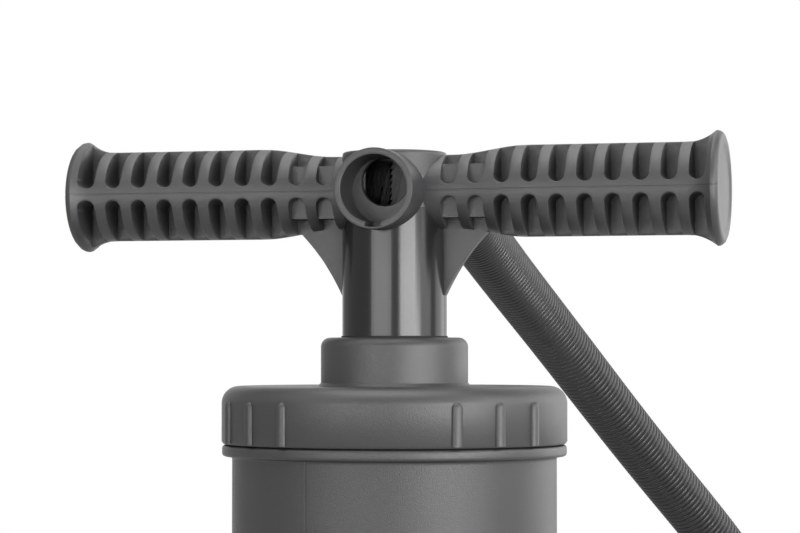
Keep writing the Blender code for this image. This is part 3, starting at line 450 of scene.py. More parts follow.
@dataclass(frozen=True)
class Finish:
    """One surface finish: its colours, shine and texture."""

    slot: str
    colour: Colour
    worn: Colour
    roughness: float
    spread: float
    grain_scale: float
    grain_depth: float
    mottle_scale: float = 45.0
    mottle_amount: float = 0.8
    metallic: float = 0.0
    coat: float = 0.0
    coat_roughness: float = 0.03
    specular: float = 0.5
    bump_strength: float = 0.6
    bump_distance: float = 0.001

    def material(self, groups: SurfaceGroups) -> bpy.types.Material:
        """Build the finish as a material.

        Args:
            groups: the shared node groups.

        Returns:
            The material, named after its slot.
        """
        made = bpy.data.materials.new(self.slot + "_finish")
        made.use_nodes = True
        tree = made.node_tree
        shader = tree.nodes["Principled BSDF"]
        shader.inputs["Metallic"].default_value = self.metallic
        shader.inputs["Coat Weight"].default_value = self.coat
        shader.inputs["Coat Roughness"].default_value = self.coat_roughness
        shader.inputs["Specular IOR Level"].default_value = self.specular
        given = {"Colour": (*self.colour, 1.0), "Worn Colour": (*self.worn, 1.0), "Scale": self.mottle_scale}
        given |= {"Amount": self.mottle_amount, "Roughness": self.roughness, "Spread": self.spread}
        mottle = add_node(tree, "ShaderNodeGroup", given, node_tree=groups.mottle)
        pebbles = {"Scale": self.grain_scale, "Depth": self.grain_depth}
        grain = add_node(tree, "ShaderNodeGroup", pebbles, node_tree=groups.grain)
        relief = {"Strength": self.bump_strength, "Distance": self.bump_distance}
        bump = add_node(tree, "ShaderNodeBump", {"Height": grain.outputs["Height"], **relief})
        tree.links.new(mottle.outputs["Colour"], shader.inputs["Base Color"])
        tree.links.new(mottle.outputs["Roughness"], shader.inputs["Roughness"])
        tree.links.new(bump.outputs["Normal"], shader.inputs["Normal"])
        return made


MOULDED = Finish(
    "moulded_grey", (0.050, 0.051, 0.053), (0.066, 0.066, 0.068), 0.40, 0.10, 2600.0, 0.16, specular=0.95
)
GLOSS = Finish("gloss_black_rod", (0.022, 0.022, 0.022), (0.030, 0.030, 0.030), 0.20, 0.05, 60.0, 0.02)
HOSE = Finish(
    "hose_grey", (0.040, 0.040, 0.041), (0.058, 0.058, 0.059), 0.30, 0.10, 1500.0, 0.06, specular=0.6
)
RUBBER = Finish("black_rubber", (0.022, 0.022, 0.022), (0.045, 0.045, 0.044), 0.80, 0.12, 1400.0, 0.15)
GUIDE = Finish("guide_plastic", (0.040, 0.040, 0.041), (0.060, 0.060, 0.060), 0.45, 0.10, 2000.0, 0.06)
STEEL = Finish(
    "screw_steel", (0.55, 0.55, 0.56), (0.40, 0.39, 0.37), 0.30, 0.15, 1200.0, 0.04, metallic=1.0
)


class Wardrobe:
    """The materials, and the dressing of pieces and solids with them."""

    def __init__(self) -> None:
        """Build every finish once."""
        groups = SurfaceGroups()
        self.materials = {f.slot: f.material(groups) for f in (MOULDED, GLOSS, HOSE, RUBBER, GUIDE, STEEL)}

    def dress(self, piece: bpy.types.Object, finish: Finish, body: str, *nodes: str) -> bpy.types.Object:
        """Give a new piece its finish and body, and hide the solids that it stands for.

        Args:
            piece: the new piece, in place.
            finish: its finish.
            body: the body that it rides on.
            nodes: the solids that it stands for.

        Returns:
            The piece.
        """
        piece.data.materials.clear()
        piece.data.materials.append(self.materials[finish.slot])
        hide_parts(*nodes)
        if body:
            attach(piece, body)
        LOG.info("%s stands for %s", piece.name, ", ".join(nodes))
        return piece

    def dress_solids(self, frame: dict) -> None:
        """Give every solid that stays its better material, by the record's slots.

        Args:
            frame: the loaded frame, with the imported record.
        """
        for entry in frame["record"]["subparts"]:
            node = bpy.data.objects.get(entry["node"])
            if node and node.type == "MESH":
                node.data.materials.clear()
                node.data.materials.append(self.materials[entry["material_slot"]])


@dataclass(frozen=True)
class Lamp:
    """One soft box: degrees to the right of the camera, height, distance, width and height, radiance."""

    name: str
    azimuth: float
    level: float
    reach: float
    size: Flat
    glow: float


LAMPS = (
    Lamp("right_strip", azimuth=35.5, level=0.34, reach=1.30, size=(1.12, 0.24), glow=12.2),
    Lamp("left_strip", azimuth=-29.0, level=0.34, reach=1.30, size=(1.05, 0.24), glow=5.2),
    Lamp("left_high", azimuth=-62.0, level=1.10, reach=1.05, size=(0.80, 0.80), glow=0.9),
    Lamp("right_side", azimuth=74.0, level=0.85, reach=1.20, size=(0.60, 1.10), glow=2.6),
    Lamp("right_rear", azimuth=121.0, level=0.50, reach=1.30, size=(0.90, 0.90), glow=1.5),
    Lamp("front_top", azimuth=-15.0, level=1.55, reach=0.30, size=(0.90, 0.70), glow=2.5),
    Lamp("rear_top", azimuth=180.0, level=1.50, reach=0.45, size=(1.00, 1.00), glow=1.4),
)


@dataclass
class Studio:
    """Camera, lamps, floor and background."""

    focal_px: float = 2750.0
    image_width: float = 800.0
    image_height: float = 533.0
    sensor_width: float = 36.0
    azimuth: float = 14.7
    distance: float = 0.890
    height: float = 0.2984
    horizon_px: float = 354.0
    axis_px: float = 394.5
    lamp_aim: float = 0.30
    floor_half: float = 1.3
    floor_full: float = 0.55
    floor_gone: float = 1.25
    floor_colour: Colour = (0.24, 0.24, 0.24)
    floor_glow: float = 0.30
    floor_roughness: float = 0.9
    floor_bounce: Colour = (0.02, 0.02, 0.02)
    fill_front: float = 0.14
    fill_rear: float = 0.45
    fill_from_deg: float = 105.0
    fill_to_deg: float = 45.0
    white_azimuth: float = 165.0
    white_to_deg: float = 28.0
    pale_from_deg: float = 48.0
    pale_strength: float = 0.40

    def camera(self) -> None:
        """Set up the camera at the photograph's viewing angle."""
        data = bpy.data.cameras.new("camera")
        data.sensor_fit = "HORIZONTAL"
        data.sensor_width = self.sensor_width
        data.lens = self.focal_px * data.sensor_width / self.image_width
        data.dof.use_dof = False
        pitch = math.atan((self.horizon_px - self.image_height / 2) / self.focal_px)
        aside = math.atan((self.axis_px - self.image_width / 2) / self.focal_px)
        angle = math.radians(self.azimuth)
        made = bpy.data.objects.new("camera", data)
        made.location = (self.distance * math.sin(angle), -self.distance * math.cos(angle), self.height)
        made.rotation_euler = Euler((math.pi / 2 + pitch, 0.0, angle + aside))
        bpy.context.scene.collection.objects.link(made)
        bpy.context.scene.camera = made

    def hang(self, lamp: Lamp) -> None:
        """Hang one soft box that faces the pump.

        Args:
            lamp: its size, place and glow.
        """
        data = bpy.data.lights.new(lamp.name, "AREA")
        data.shape = "RECTANGLE"
        data.size, data.size_y = lamp.size
        data.energy = lamp.glow * math.pi * lamp.size[0] * lamp.size[1]
        angle = math.radians(self.azimuth + lamp.azimuth)
        made = bpy.data.objects.new(lamp.name, data)
        made.location = (lamp.reach * math.sin(angle), -lamp.reach * math.cos(angle), lamp.level)
        aim = Vector((0.0, 0.0, self.lamp_aim)) - made.location
        made.rotation_euler = aim.to_track_quat("-Z", "Y").to_euler()
        bpy.context.scene.collection.objects.link(made)

    @staticmethod
    def seen_ray(tree: bpy.types.NodeTree) -> bpy.types.NodeSocket:
        """Add the nodes that tell what is seen, straight or in a reflection, from what only lights.

        Args:
            tree: the node tree to add them to.

        Returns:
            A mask: one on rays that show the background.
        """
        path = tree.nodes.new("ShaderNodeLightPath").outputs
        seen = path["Is Camera Ray"]
        for name in ("Is Glossy Ray", "Is Transmission Ray"):
            seen = maths(tree, "MAXIMUM", seen, path[name])
        return seen

    @staticmethod
    def fade(
        tree: bpy.types.NodeTree, value: bpy.types.NodeSocket, ends: Flat, results: Flat = (0.0, 1.0)
    ) -> bpy.types.NodeSocket:
        """Add a soft step.

        Args:
            tree: the node tree.
            value: the value that it follows.
            ends: where the step starts and ends.
            results: what it gives before and after.

        Returns:
            The step's result.
        """
        given = {"Value": value, "From Min": ends[0], "From Max": ends[1]}
        given |= {"To Min": results[0], "To Max": results[1]}
        return add_node(tree, "ShaderNodeMapRange", given, interpolation_type="SMOOTHSTEP").outputs["Result"]

    def world(self) -> None:
        """Make the surroundings: white behind the pump, pale elsewhere, and dim where they only light."""
        world = bpy.data.worlds.new("studio")
        bpy.context.scene.world = world
        world.use_nodes = True
        tree = world.node_tree
        dim, pale = tree.nodes["Background"], tree.nodes.new("ShaderNodeBackground")
        place = tree.nodes.new("ShaderNodeTexCoord").outputs["Generated"]
        angle = math.radians(self.azimuth + self.white_azimuth)
        behind = (math.sin(angle), -math.cos(angle), 0.0)
        ahead = add_node(tree, "ShaderNodeVectorMath", {0: place, 1: behind}, operation="DOT_PRODUCT")
        seen = ((self.pale_from_deg, self.white_to_deg), (self.pale_strength, 1.0))
        unseen = ((self.fill_from_deg, self.fill_to_deg), (self.fill_front, self.fill_rear))
        for light, (degrees, results) in ((pale, seen), (dim, unseen)):
            light.inputs["Color"].default_value = WHITE
            ends = (math.cos(math.radians(degrees[0])), math.cos(math.radians(degrees[1])))
            strength = self.fade(tree, ahead.outputs["Value"], ends, results)
            tree.links.new(strength, light.inputs["Strength"])
        given = {"Fac": self.seen_ray(tree), 1: dim.outputs["Background"], 2: pale.outputs["Background"]}
        mix = add_node(tree, "ShaderNodeMixShader", given)
        tree.links.new(mix.outputs["Shader"], tree.nodes["World Output"].inputs["Surface"])

    def floor(self) -> None:
        """Lay the plain pale floor, which throws little light up and melts into the background far out."""
        half = self.floor_half
        corners = [(-half, -half, 0.0), (half, -half, 0.0), (half, half, 0.0), (-half, half, 0.0)]
        mesh = bpy.data.meshes.new("floor")
        mesh.from_pydata(corners, [], [(0, 1, 2, 3)])
        made = bpy.data.objects.new("floor", mesh)
        bpy.context.scene.collection.objects.link(made)
        pale = bpy.data.materials.new("pale_floor")
        pale.use_nodes = True
        tree = pale.node_tree
        shader = tree.nodes["Principled BSDF"]
        shader.inputs["Roughness"].default_value = self.floor_roughness
        shader.inputs["Emission Color"].default_value = WHITE
        seen = self.seen_ray(tree)
        tree.links.new(maths(tree, "MULTIPLY", seen, self.floor_glow), shader.inputs["Emission Strength"])
        colours = {"Factor": seen, "A": (*self.floor_bounce, 1.0), "B": (*self.floor_colour, 1.0)}
        mix = add_node(tree, "ShaderNodeMix", colours, data_type="RGBA")
        tree.links.new(mix.outputs["Result"], shader.inputs["Base Color"])
        place = tree.nodes.new("ShaderNodeTexCoord").outputs["Object"]
        away = add_node(tree, "ShaderNodeVectorMath", {0: place}, operation="LENGTH").outputs["Value"]
        far = maths(tree, "MULTIPLY", self.fade(tree, away, (self.floor_full, self.floor_gone)), seen)
        clear = tree.nodes.new("ShaderNodeBsdfTransparent")
        melt = add_node(
            tree, "ShaderNodeMixShader", {"Fac": far, 1: shader.outputs["BSDF"], 2: clear.outputs["BSDF"]}
        )
        tree.links.new(melt.outputs["Shader"], tree.nodes["Material Output"].inputs["Surface"])
        mesh.materials.append(pale)

    def build(self) -> None:
        """Set the whole studio up."""
        bpy.context.scene.view_settings.view_transform = "Standard"
        self.camera()
        for lamp in LAMPS:
            self.hang(lamp)
        self.world()
        self.floor()


@dataclass
class AirHose:
    """The ribbed hose from the rear connector to the floor and round to its nozzle."""

    radius: float = 0.0107
    groove: float = 0.0015
    pitch: float = 0.0024
    rib_shares: tuple[float, ...] = (0.0, 0.75, 0.94, 1.0, 0.94, 0.75)
    sharp_deg: float = 80.0
    sides: int = 32
    start_y: float = 0.0314
    straight: float = 0.0214
    span_steps: int = 40
    route: tuple[Point, ...] = (
        (0.0000, 0.0900, 0.3477),
        (0.0010, 0.1180, 0.3406),
        (0.0035, 0.1460, 0.3302),
        (0.0118, 0.1920, 0.3083),
        (0.0267, 0.2330, 0.2790),
        (0.0456, 0.2740, 0.2455),
        (0.0604, 0.3010, 0.2210),
        (0.0802, 0.3330, 0.1860),
        (0.1239, 0.3897, 0.1096),
        (0.1393, 0.4511, 0.0581),
        (0.1224, 0.4999, 0.0260),
        (0.0808, 0.5428, 0.0128),
        (0.0265, 0.5594, 0.0112),
        (-0.0392, 0.5416, 0.0112),
        (-0.0889, 0.4873, 0.0112),
        (-0.1069, 0.4382, 0.0116),
        (-0.1138, 0.3618, 0.0139),
    )

    def exit(self) -> Point:
        """Return the place where the hose leaves its connector."""
        return (0.0, self.start_y, HANDLE_Z)

    def end(self) -> Point:
        """Return the place where the hose ends in its cuff."""
        x, y, z = self.route[-1]
        return (x, y - self.straight, z)

    def knots(self) -> np.ndarray:
        """Return the route's points with the straight runs at both ends."""
        first = (0.0, self.start_y + self.straight, HANDLE_Z)
        return np.array([self.exit(), first, *self.route, self.end()])

    def line(self) -> tuple[np.ndarray, float]:
        """Run a natural cubic spline through the route.

        Returns:
            Evenly spaced points, a few for each rib, and the length.
        """
        points = self.knots()
        gaps = np.linalg.norm(np.diff(points, axis=0), axis=1)
        count = len(points)
        system = np.eye(count)
        right = np.zeros_like(points)
        slopes = np.diff(points, axis=0) / gaps[:, None]
        for i in range(1, count - 1):
            system[i, i - 1 : i + 2] = gaps[i - 1], 2 * (gaps[i - 1] + gaps[i]), gaps[i]
            right[i] = 6 * (slopes[i] - slopes[i - 1])
        bend = np.linalg.solve(system, right)
        runs = []
        for i, gap in enumerate(gaps):
            u = np.linspace(0, gap, self.span_steps, endpoint=False)[:, None]
            v = gap - u
            near = (points[i] / gap - bend[i] * gap / 6) * v + bend[i] * v**3 / (6 * gap)
            far = (points[i + 1] / gap - bend[i + 1] * gap / 6) * u + bend[i + 1] * u**3 / (6 * gap)
            runs.append(near + far)
        curve = np.concatenate(runs + [points[-1:]])
        at = np.concatenate([[0.0], np.cumsum(np.linalg.norm(np.diff(curve, axis=0), axis=1))])
        ribs = round(at[-1] / self.pitch)
        wanted = np.linspace(0, at[-1], len(self.rib_shares) * ribs + 1)
        return np.stack([np.interp(wanted, at, curve[:, k]) for k in range(3)], axis=1), float(at[-1])

    def build(self, wardrobe: Wardrobe, with_pieces: list[bpy.types.Object]) -> None:
        """Args:
            wardrobe: the finishes.
            with_pieces: the fittings at its two ends; not used.
        """
        points, length = self.line()
        heads = np.gradient(points, axis=0)
        heads /= np.linalg.norm(heads, axis=1)[:, None]
        side = np.array([1.0, 0.0, 0.0])
        steps = len(self.rib_shares)
        rings = []
        for i, (point, head) in enumerate(zip(points, heads)):
            side = side - head * float(side @ head)
            side /= np.linalg.norm(side)
            up = np.cross(head, side)
            radius = self.radius - self.groove * (1.0 - self.rib_shares[i % steps])
            angles = np.linspace(0, math.tau, self.sides, endpoint=False)
            around = np.cos(angles)[:, None] * side + np.sin(angles)[:, None] * up
            rings.append([tuple(p) for p in point + radius * around])
        hose = Solid.loft(rings).piece("ribbed_hose")
        hose.data.set_sharp_from_angle(angle=math.radians(self.sharp_deg))
        wardrobe.dress(hose, HOSE, "", "air_hose")
        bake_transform(hose)


@dataclass
class HoseFittings:
    """The bayonet connector, the end cuff and the stepped nozzle."""

    hose: AirHose
    plug_radius: float = 0.0104
    plug_bore: float = 0.0084
    plug_start: float = 0.0135
    collar_start: float = 0.0271
    collar_length: float = 0.0040
    collar_radius: float = 0.0136
    sleeve_radius: float = 0.0128
    sleeve_length: float = 0.0220
    sleeve_bore: float = 0.0110
    ridge: float = 0.0008
    ridges: int = 2
    lug_low: float = 0.0181
    lug_length: float = 0.0032
    lug_width: float = 0.0044
    lug_outer: float = 0.0118
    bore: float = 0.0085
    steps: tuple[Flat, ...] = ((0.0105, 0.018), (0.0080, 0.016), (0.0055, 0.016))
    flange_radius: float = 0.0129
    nozzle_wall: float = 0.0018
    nozzle_taper: float = 0.0006
    nozzle_plug: float = 0.0035
    nozzle_round: float = 0.0006
    cuff_round: float = 0.0005
    collar_slope: float = 0.0004
    ridge_place: float = 0.75
    ridge_foot: float = 0.30
    ridge_flat: float = 0.15
    lug_root: float = 0.0095
    lug_edge: float = 0.0004
    lug_deg: float = 135.0

    def sleeve(self, low: float) -> list[Flat]:
        """Return the outer line of a cuff from its collar to its mouth.

        Args:
            low: level of the collar's lower face.

        Returns:
            (radius, level) points.
        """
        start = low + self.collar_length
        step = self.sleeve_length / (self.ridges + 1)
        line = [(self.collar_radius, low), (self.collar_radius, start)]
        line += [(self.sleeve_radius, start + self.collar_slope)]
        foot, flat = step * self.ridge_foot, step * self.ridge_flat
        shape = ((0.0, -foot), (self.ridge, -flat), (self.ridge, flat), (0.0, foot))
        for i in range(self.ridges):
            middle = start + step * (i + self.ridge_place)
            line += [(self.sleeve_radius + rise, middle + away) for rise, away in shape]
        mouth = start + self.sleeve_length
        return line + [(self.sleeve_radius, mouth), (self.sleeve_bore, mouth)]

    def connector(self, wardrobe: Wardrobe) -> bpy.types.Object:
        """Build the bayonet connector in the rear socket.

        Args:
            wardrobe: the finishes.

        Returns:
            The connector.
        """
        line = [(self.plug_bore, self.plug_start), (self.plug_radius, self.plug_start)]
        line += [(self.plug_radius, self.collar_start)] + self.sleeve(self.collar_start)
        shoulder = self.collar_start + self.collar_length
        line += [(self.sleeve_bore, shoulder), (self.plug_bore, shoulder)]
        body = Solid.turned(fillet(line, self.cuff_round, closed=True), hoop=True)
        half = self.lug_width / 2
        root, outer = self.lug_root, self.lug_outer
        outline = [(root, -half), (outer, -half), (outer, half), (root, half)]
        lug = Solid.plate(outline, self.lug_low, self.lug_low + self.lug_length, self.lug_edge)
        made = body.joined(lug.moved(turn(self.lug_deg, "Z"))).moved(along_y(Way.REAR), shift(0, 0, HANDLE_Z))
        return wardrobe.dress(made.piece("bayonet_connector"), MOULDED, "connector", "hose_connector")

    def cuff(self, wardrobe: Wardrobe) -> bpy.types.Object:
        """Build the cuff on the hose's free end.

        Args:
            wardrobe: the finishes.

        Returns:
            The cuff.
        """
        low = -self.collar_length - CLEAR
        line = [(self.bore, low)] + self.sleeve(low) + [(self.sleeve_bore, -CLEAR), (self.bore, -CLEAR)]
        made = Solid.turned(fillet(line, self.cuff_round, closed=True), hoop=True)
        made = made.moved(along_y(Way.REAR), shift(*self.hose.end()))
        return wardrobe.dress(made.piece("end_cuff"), MOULDED, "swivel", "hose_end_cuff")

    def nozzle(self, wardrobe: Wardrobe) -> bpy.types.Object:
        """Build the stepped nozzle in the cuff.

        Args:
            wardrobe: the finishes.

        Returns:
            The nozzle.
        """
        collar = -self.collar_length - CLEAR
        top = collar - CLEAR
        inner = self.steps[-1][0] - self.nozzle_wall
        plug = self.bore - CLEAR
        line = [(inner, collar + self.nozzle_plug), (plug, collar + self.nozzle_plug), (plug, top)]
        line += [(self.flange_radius, top), (self.flange_radius, top - self.nozzle_wall)]
        level = top - self.nozzle_wall
        for radius, length in self.steps:
            line += [(radius, level), (radius - self.nozzle_taper, level - length)]
            level -= length
        line += [(inner, level)]
        made = Solid.turned(fillet(line, self.nozzle_round, closed=True), hoop=True)
        made = made.moved(along_y(Way.REAR), shift(*self.hose.end()))
        return wardrobe.dress(made.piece("stepped_nozzle"), MOULDED, "swivel", "nozzle")


@dataclass
class Grip:
    """One slotted half of the T-handle, as a row of rings from the hub to the flared end."""

    inner_end: float = 0.0125
    outer_end: float = 0.10745
    radius: float = 0.01473
    neck_radius: float = 0.0120
    neck_end: float = 0.0200
    swell_end: float = 0.0440
    flare_radius: float = 0.01825
    flare_length: float = 0.0090
    flare_steps: int = 5
    rim: float = 0.0023
    slots: int = 10
    first_slot: float = 0.0206
    slot_pitch: float = 0.0089
    slot_width: float = 0.0053
    spine: float = 0.0040
    web: float = 0.0030
    core_slots: int = 2
    core_depth: float = 0.0082
    core_height: float = 0.0085
    edge: float = 0.0003
    edge_share: float = 0.3
    seam_rise: float = -0.00015
    seam_levels: tuple[float, ...] = (0.00018, 0.0003, 0.0006)
    core_step: float = 0.0001
    crest_drop: float = 0.0004
    crest_shares: tuple[float, ...] = (0.8, 0.4, 0.0)
    slot_steps: int = 11
    end_shares: tuple[float, ...] = (0.78, 0.74, 0.30)
    end_dish: float = 0.0005
    end_middle: float = 0.0004

    def outline(self, x: float) -> float:
        """Return the grip's radius at a distance from the middle of the handle.

        Args:
            x: the distance from the middle.

        Returns:
            The radius there.
        """
        t = min(max((x - self.neck_end) / (self.swell_end - self.neck_end), 0.0), 1.0)
        radius = self.neck_radius + (self.radius - self.neck_radius) * t * t * (3 - 2 * t)
        start = self.outer_end - self.rim - self.flare_length
        lift = min(max((x - start) / self.flare_length, 0.0), 1.0)
        return radius + (self.flare_radius - self.radius) * lift * lift

    def floor(self, slot: int) -> Callable[[float], float]:
        """Return the depth of a slot's floor by height: a web, or the flat core by the hub."""
        deep = self.core_depth if slot < self.core_slots else self.web / 2
        return lambda z: deep if z <= self.core_height else self.web / 2

    def quarter(
        self, radius: float, tip: float, drop: float, floor: Callable[[float], float] | None
    ) -> list[Flat]:
        """Draw a quarter of one ring, from the mould seam up to the crest.

        Args:
            radius: the grip's radius here.
            tip: height of the slot's end above the seam.
            drop: how far the rib's edge is rounded off here.
            floor: depth of the slot's floor, or nothing on a rib.

        Returns:
            (depth, height) points.
        """
        half_web = self.web / 2
        crest = math.sqrt(radius**2 - half_web**2)

        def skin(z: float) -> float:
            """Return the depth of the round skin at a height."""
            return math.sqrt(max(radius**2 - z**2, 0.0))

        flat, meet, clear = self.seam_levels
        line = [(radius + self.seam_rise, 0.0), (radius + self.seam_rise, flat), (skin(meet), meet)]
        line += [(skin(z), z) for z in np.linspace(clear, tip - self.edge, 4)]
        soft = self.edge * self.edge_share
        if floor is None:
            line += [(skin(tip - soft), tip - soft), (skin(tip), tip), (skin(tip), tip)]
        else:
            line += [(skin(tip) - soft, tip - soft), (skin(tip) - self.edge, tip), (floor(tip), tip)]
        levels = list(np.linspace(tip, self.core_height, 4)[1:]) + [self.core_height + self.core_step]
        levels += list(np.linspace(self.core_height, crest - self.crest_drop, ROUND_STEPS)[1:])
        for z in levels:
            top = max(skin(z) - drop, half_web)
            line.append((top if floor is None else min(floor(z), top), z))
        for share in self.crest_shares:
            depth = half_web * share
            line.append((depth, math.sqrt(radius**2 - depth**2) - (drop if floor is None else 0.0)))
        return line

    def ring(self, x: float, quarter: list[Flat]) -> list[Point]:
        """Repeat a quarter round the grip at one place along it.

        Args:
            x: the distance from the middle.
            quarter: (depth, height) points of a quarter.

        Returns:
            The ring's points, in order round it.
        """
        front_top = [(x, -y, z) for y, z in quarter]
        rear_top = [(x, y, z) for y, z in reversed(quarter[:-1])]
        rear_low = [(x, y, -z) for y, z in quarter[1:]]
        front_low = [(x, -y, -z) for y, z in reversed(quarter[1:-1])]
        return front_top + rear_top + rear_low + front_low

    def rib(self, x: float, drop: float = 0.0) -> list[Point]:
        """Return a ring of plain rib."""
        tip = self.spine / 2 + self.slot_width / 2
        return self.ring(x, self.quarter(self.outline(x), tip, drop, None))

    def slot_rings(self, slot: int) -> list[list[Point]]:
        """Return the rings across one pair of slots, with the soft edges of the ribs beside it.

        Args:
            slot: the slot's number, counted from the hub.

        Returns:
            The rings, in order along the grip.
        """
        middle = self.first_slot + self.slot_pitch * slot
        half = self.slot_width / 2
        part = self.edge * self.edge_share
        soft = ((self.edge, 0.0), (part, part), (0.0, self.edge))
        rings = [self.rib(middle - half - away, drop) for away, drop in soft]
        for angle in np.linspace(-90, 90, self.slot_steps):
            x = middle + half * math.sin(math.radians(angle))
            tip = self.spine / 2 + half - half * math.cos(math.radians(angle))
            rings.append(self.ring(x, self.quarter(self.outline(x), tip, 0.0, self.floor(slot))))
        return rings + [self.rib(middle + half + away, drop) for away, drop in reversed(soft)]

    def build(self, side: Side) -> Solid:
        """Build the grip on one side of the hub.

        Args:
            side: the side of the hub.

        Returns:
            The grip, about the handle's axis.
        """
        rings = [self.rib(self.inner_end)]
        for slot in range(self.slots):
            rings += self.slot_rings(slot)
        start = self.outer_end - self.rim
        plain = self.first_slot + self.slot_pitch * (self.slots - 1) + self.slot_width / 2 + self.edge
        rings += [self.rib(x) for x in np.linspace(plain, start, self.flare_steps)[1:]]
        last = rings[-1]
        full = self.outline(start)
        rounding = arc((full - self.rim, start), self.rim, 0, 90, ROUND_STEPS)[1:]
        rim, step, middle = (full * share for share in self.end_shares)
        dish = self.outer_end - self.end_dish
        face = [(rim, self.outer_end), (step, dish), (middle, dish), (self.end_middle, dish)]
        for radius, x in rounding + face:
            rings.append([(x, y * radius / full, z * radius / full) for _, y, z in last])
        made = Solid.loft(rings)
        return made.moved(Matrix.Scale(side.value, 4, (1, 0, 0)))


@dataclass
class Handle:
    """The T-handle moulding: grips, hub, sockets, spigot and gussets."""

    grip: Grip = field(default_factory=Grip)
    hub_rise: float = 0.01305
    hub_roof: float = 0.0022
    hub_drop: float = 0.0055
    hub_edge: float = 0.0011
    spigot_radius: float = 0.0146
    spigot_length: float = 0.0200
    socket_radius: float = 0.0129
    socket_bore: float = 0.0108
    socket_reach: float = 0.0267
    socket_floor: float = 0.0120
    socket_root: float = 0.0098
    hole_radius: float = 0.00775
    hole_rise: float = 0.0030
    channel_radius: float = 0.0123
    channel_wall: float = 0.0010
    channel_steps: int = 32
    notch_half_deg: float = 13.0
    notch_depth: float = 0.0014
    track_low: float = 0.0177
    track_high: float = 0.0217
    track_turn_deg: float = 45.0
    rim_edge: float = 0.00035
    rim_shares: Flat = (0.3, 0.6)
    notch_step_deg: float = 0.6
    socket_step_deg: float = 3.75
    track_step: float = 0.0001
    hole_edge: float = 0.0003
    gusset_thickness: float = 0.0032
    gusset_reach: float = 0.0320
    gusset_depth: float = 0.0333
    gusset_sag: float = 0.0011
    gusset_root: float = 0.0072
    gusset_sink: float = 0.0005
    gusset_tip: float = 0.0002
    gusset_edge: float = 0.0005
    gusset_steps: int = 16

    def socket(self, way: Way) -> Solid:
        """Build one socket: rim, bore with its notch and turning track, ledge and the off-centre air hole.

        Args:
            way: the side that it opens to.

        Returns:
            The socket, about the handle's axis.
        """
        low = 270.0
        entry = (low - self.notch_half_deg, low + self.notch_half_deg)
        track = (entry[0], entry[1] + self.track_turn_deg)
        step = self.notch_step_deg
        marks = [entry[0] - step, entry[0], entry[1], entry[1] + step, track[1], track[1] + step]
        angles = sorted(set(list(np.arange(0.0, 360.0, self.socket_step_deg)) + marks))

        def circle(radius: float, level: float, cut: Flat = (0.0, -1.0), rise: float = 0.0) -> list[Point]:
            """Draw one ring of the socket.

            Args:
                radius: its radius.
                level: its distance from the rod's axis.
                cut: first and last angle of the notch, or none.
                rise: how far its centre is raised.

            Returns:
                The ring's points.
            """
            ring = []
            for a in angles:
                away = radius + (self.notch_depth if cut[0] - HAIR <= a <= cut[1] + HAIR else 0.0)
                lean = math.radians(a)
                ring.append((away * math.cos(lean), away * math.sin(lean) + rise, level))
            return ring

        reach, edge, bore, hole = self.socket_reach, self.rim_edge, self.socket_bore, self.hole_radius
        outer, ledge = self.socket_radius, self.socket_floor
        soft, open_edge = (edge * share for share in self.rim_shares)
        low_track, high_track, gap, rise = self.track_low, self.track_high, self.track_step, self.hole_rise
        rings = [circle(outer, self.socket_root), circle(outer, reach - edge)]
        rings += [circle(outer - soft, reach - soft), circle(outer - edge, reach)]
        rings += [circle(bore + open_edge, reach, entry), circle(bore + soft / 2, reach - soft, entry)]
        rings += [circle(bore, reach - edge, entry), circle(bore, high_track + gap, entry)]
        rings += [circle(bore, high_track, track), circle(bore, low_track, track)]
        rings += [circle(bore, low_track - gap), circle(bore, ledge)]
        rings += [circle(hole + self.hole_edge, ledge, rise=rise)]
        rings += [circle(hole, ledge - self.hole_edge, rise=rise), circle(hole, self.socket_root, rise=rise)]
        shell = Solid.loft(rings, hoop=True).moved(along_y(Way.FRONT))
        return shell.moved(turn(180, "Z")) if way is Way.REAR else shell

    def bore_tool(self, way: Way) -> Solid:
        """Build the tool that opens the hub behind one socket.

        Args:
            way: the socket's side.

        Returns:
            The tool.
        """
        radius = self.socket_bore + self.rim_edge
        low, high = self.socket_root + CLEAR, self.socket_reach
        bore = [(ON_AXIS, low), (radius, low), (radius, high), (ON_AXIS, high)]
        return Solid.turned(bore).moved(along_y(way))

    def channel_tool(self, way: Way) -> Solid:
        """Build the tool for the half-round air channel behind one socket, down through the spigot.

        Args:
            way: the socket's side.

        Returns:
            The tool.
        """
        lean = math.degrees(math.asin(self.channel_wall / self.channel_radius))
        outline = arc((0.0, 0.0), self.channel_radius, lean, 180 - lean, self.channel_steps)
        foot = -self.hub_drop - self.spigot_length - self.hub_edge
        tool = Solid.plate(outline, foot, self.hub_rise - self.hub_roof)
        return tool.moved(turn(180, "Z")) if way is Way.FRONT else tool

    def gusset(self, side: Side) -> Solid:
        """Build one thin web between a grip and the rod.

        Args:
            side: the grip's side.

        Returns:
            The web.
        """
        inner = ROD_RADIUS - self.gusset_sink
        start = Vector((self.gusset_reach, -self.grip.neck_radius))
        end = Vector((ROD_RADIUS + self.gusset_tip, -self.gusset_depth))
        normal = Vector((end.y - start.y, start.x - end.x)).normalized()
        curve = []
        for i in range(self.gusset_steps + 1):
            t = i / self.gusset_steps
            curve.append(tuple(start.lerp(end, t) + normal * self.gusset_sag * 4 * t * (1 - t)))
        outline = [(inner, -self.gusset_root), (inner, -self.gusset_depth)] + curve[::-1]
        outline += [(self.gusset_reach, -self.gusset_root)]
        half = self.gusset_thickness / 2
        made = Solid.plate(outline, -half, half, self.gusset_edge).moved(turn(90, "X"))
        return made.moved(Matrix.Scale(side.value, 4, (1, 0, 0)))

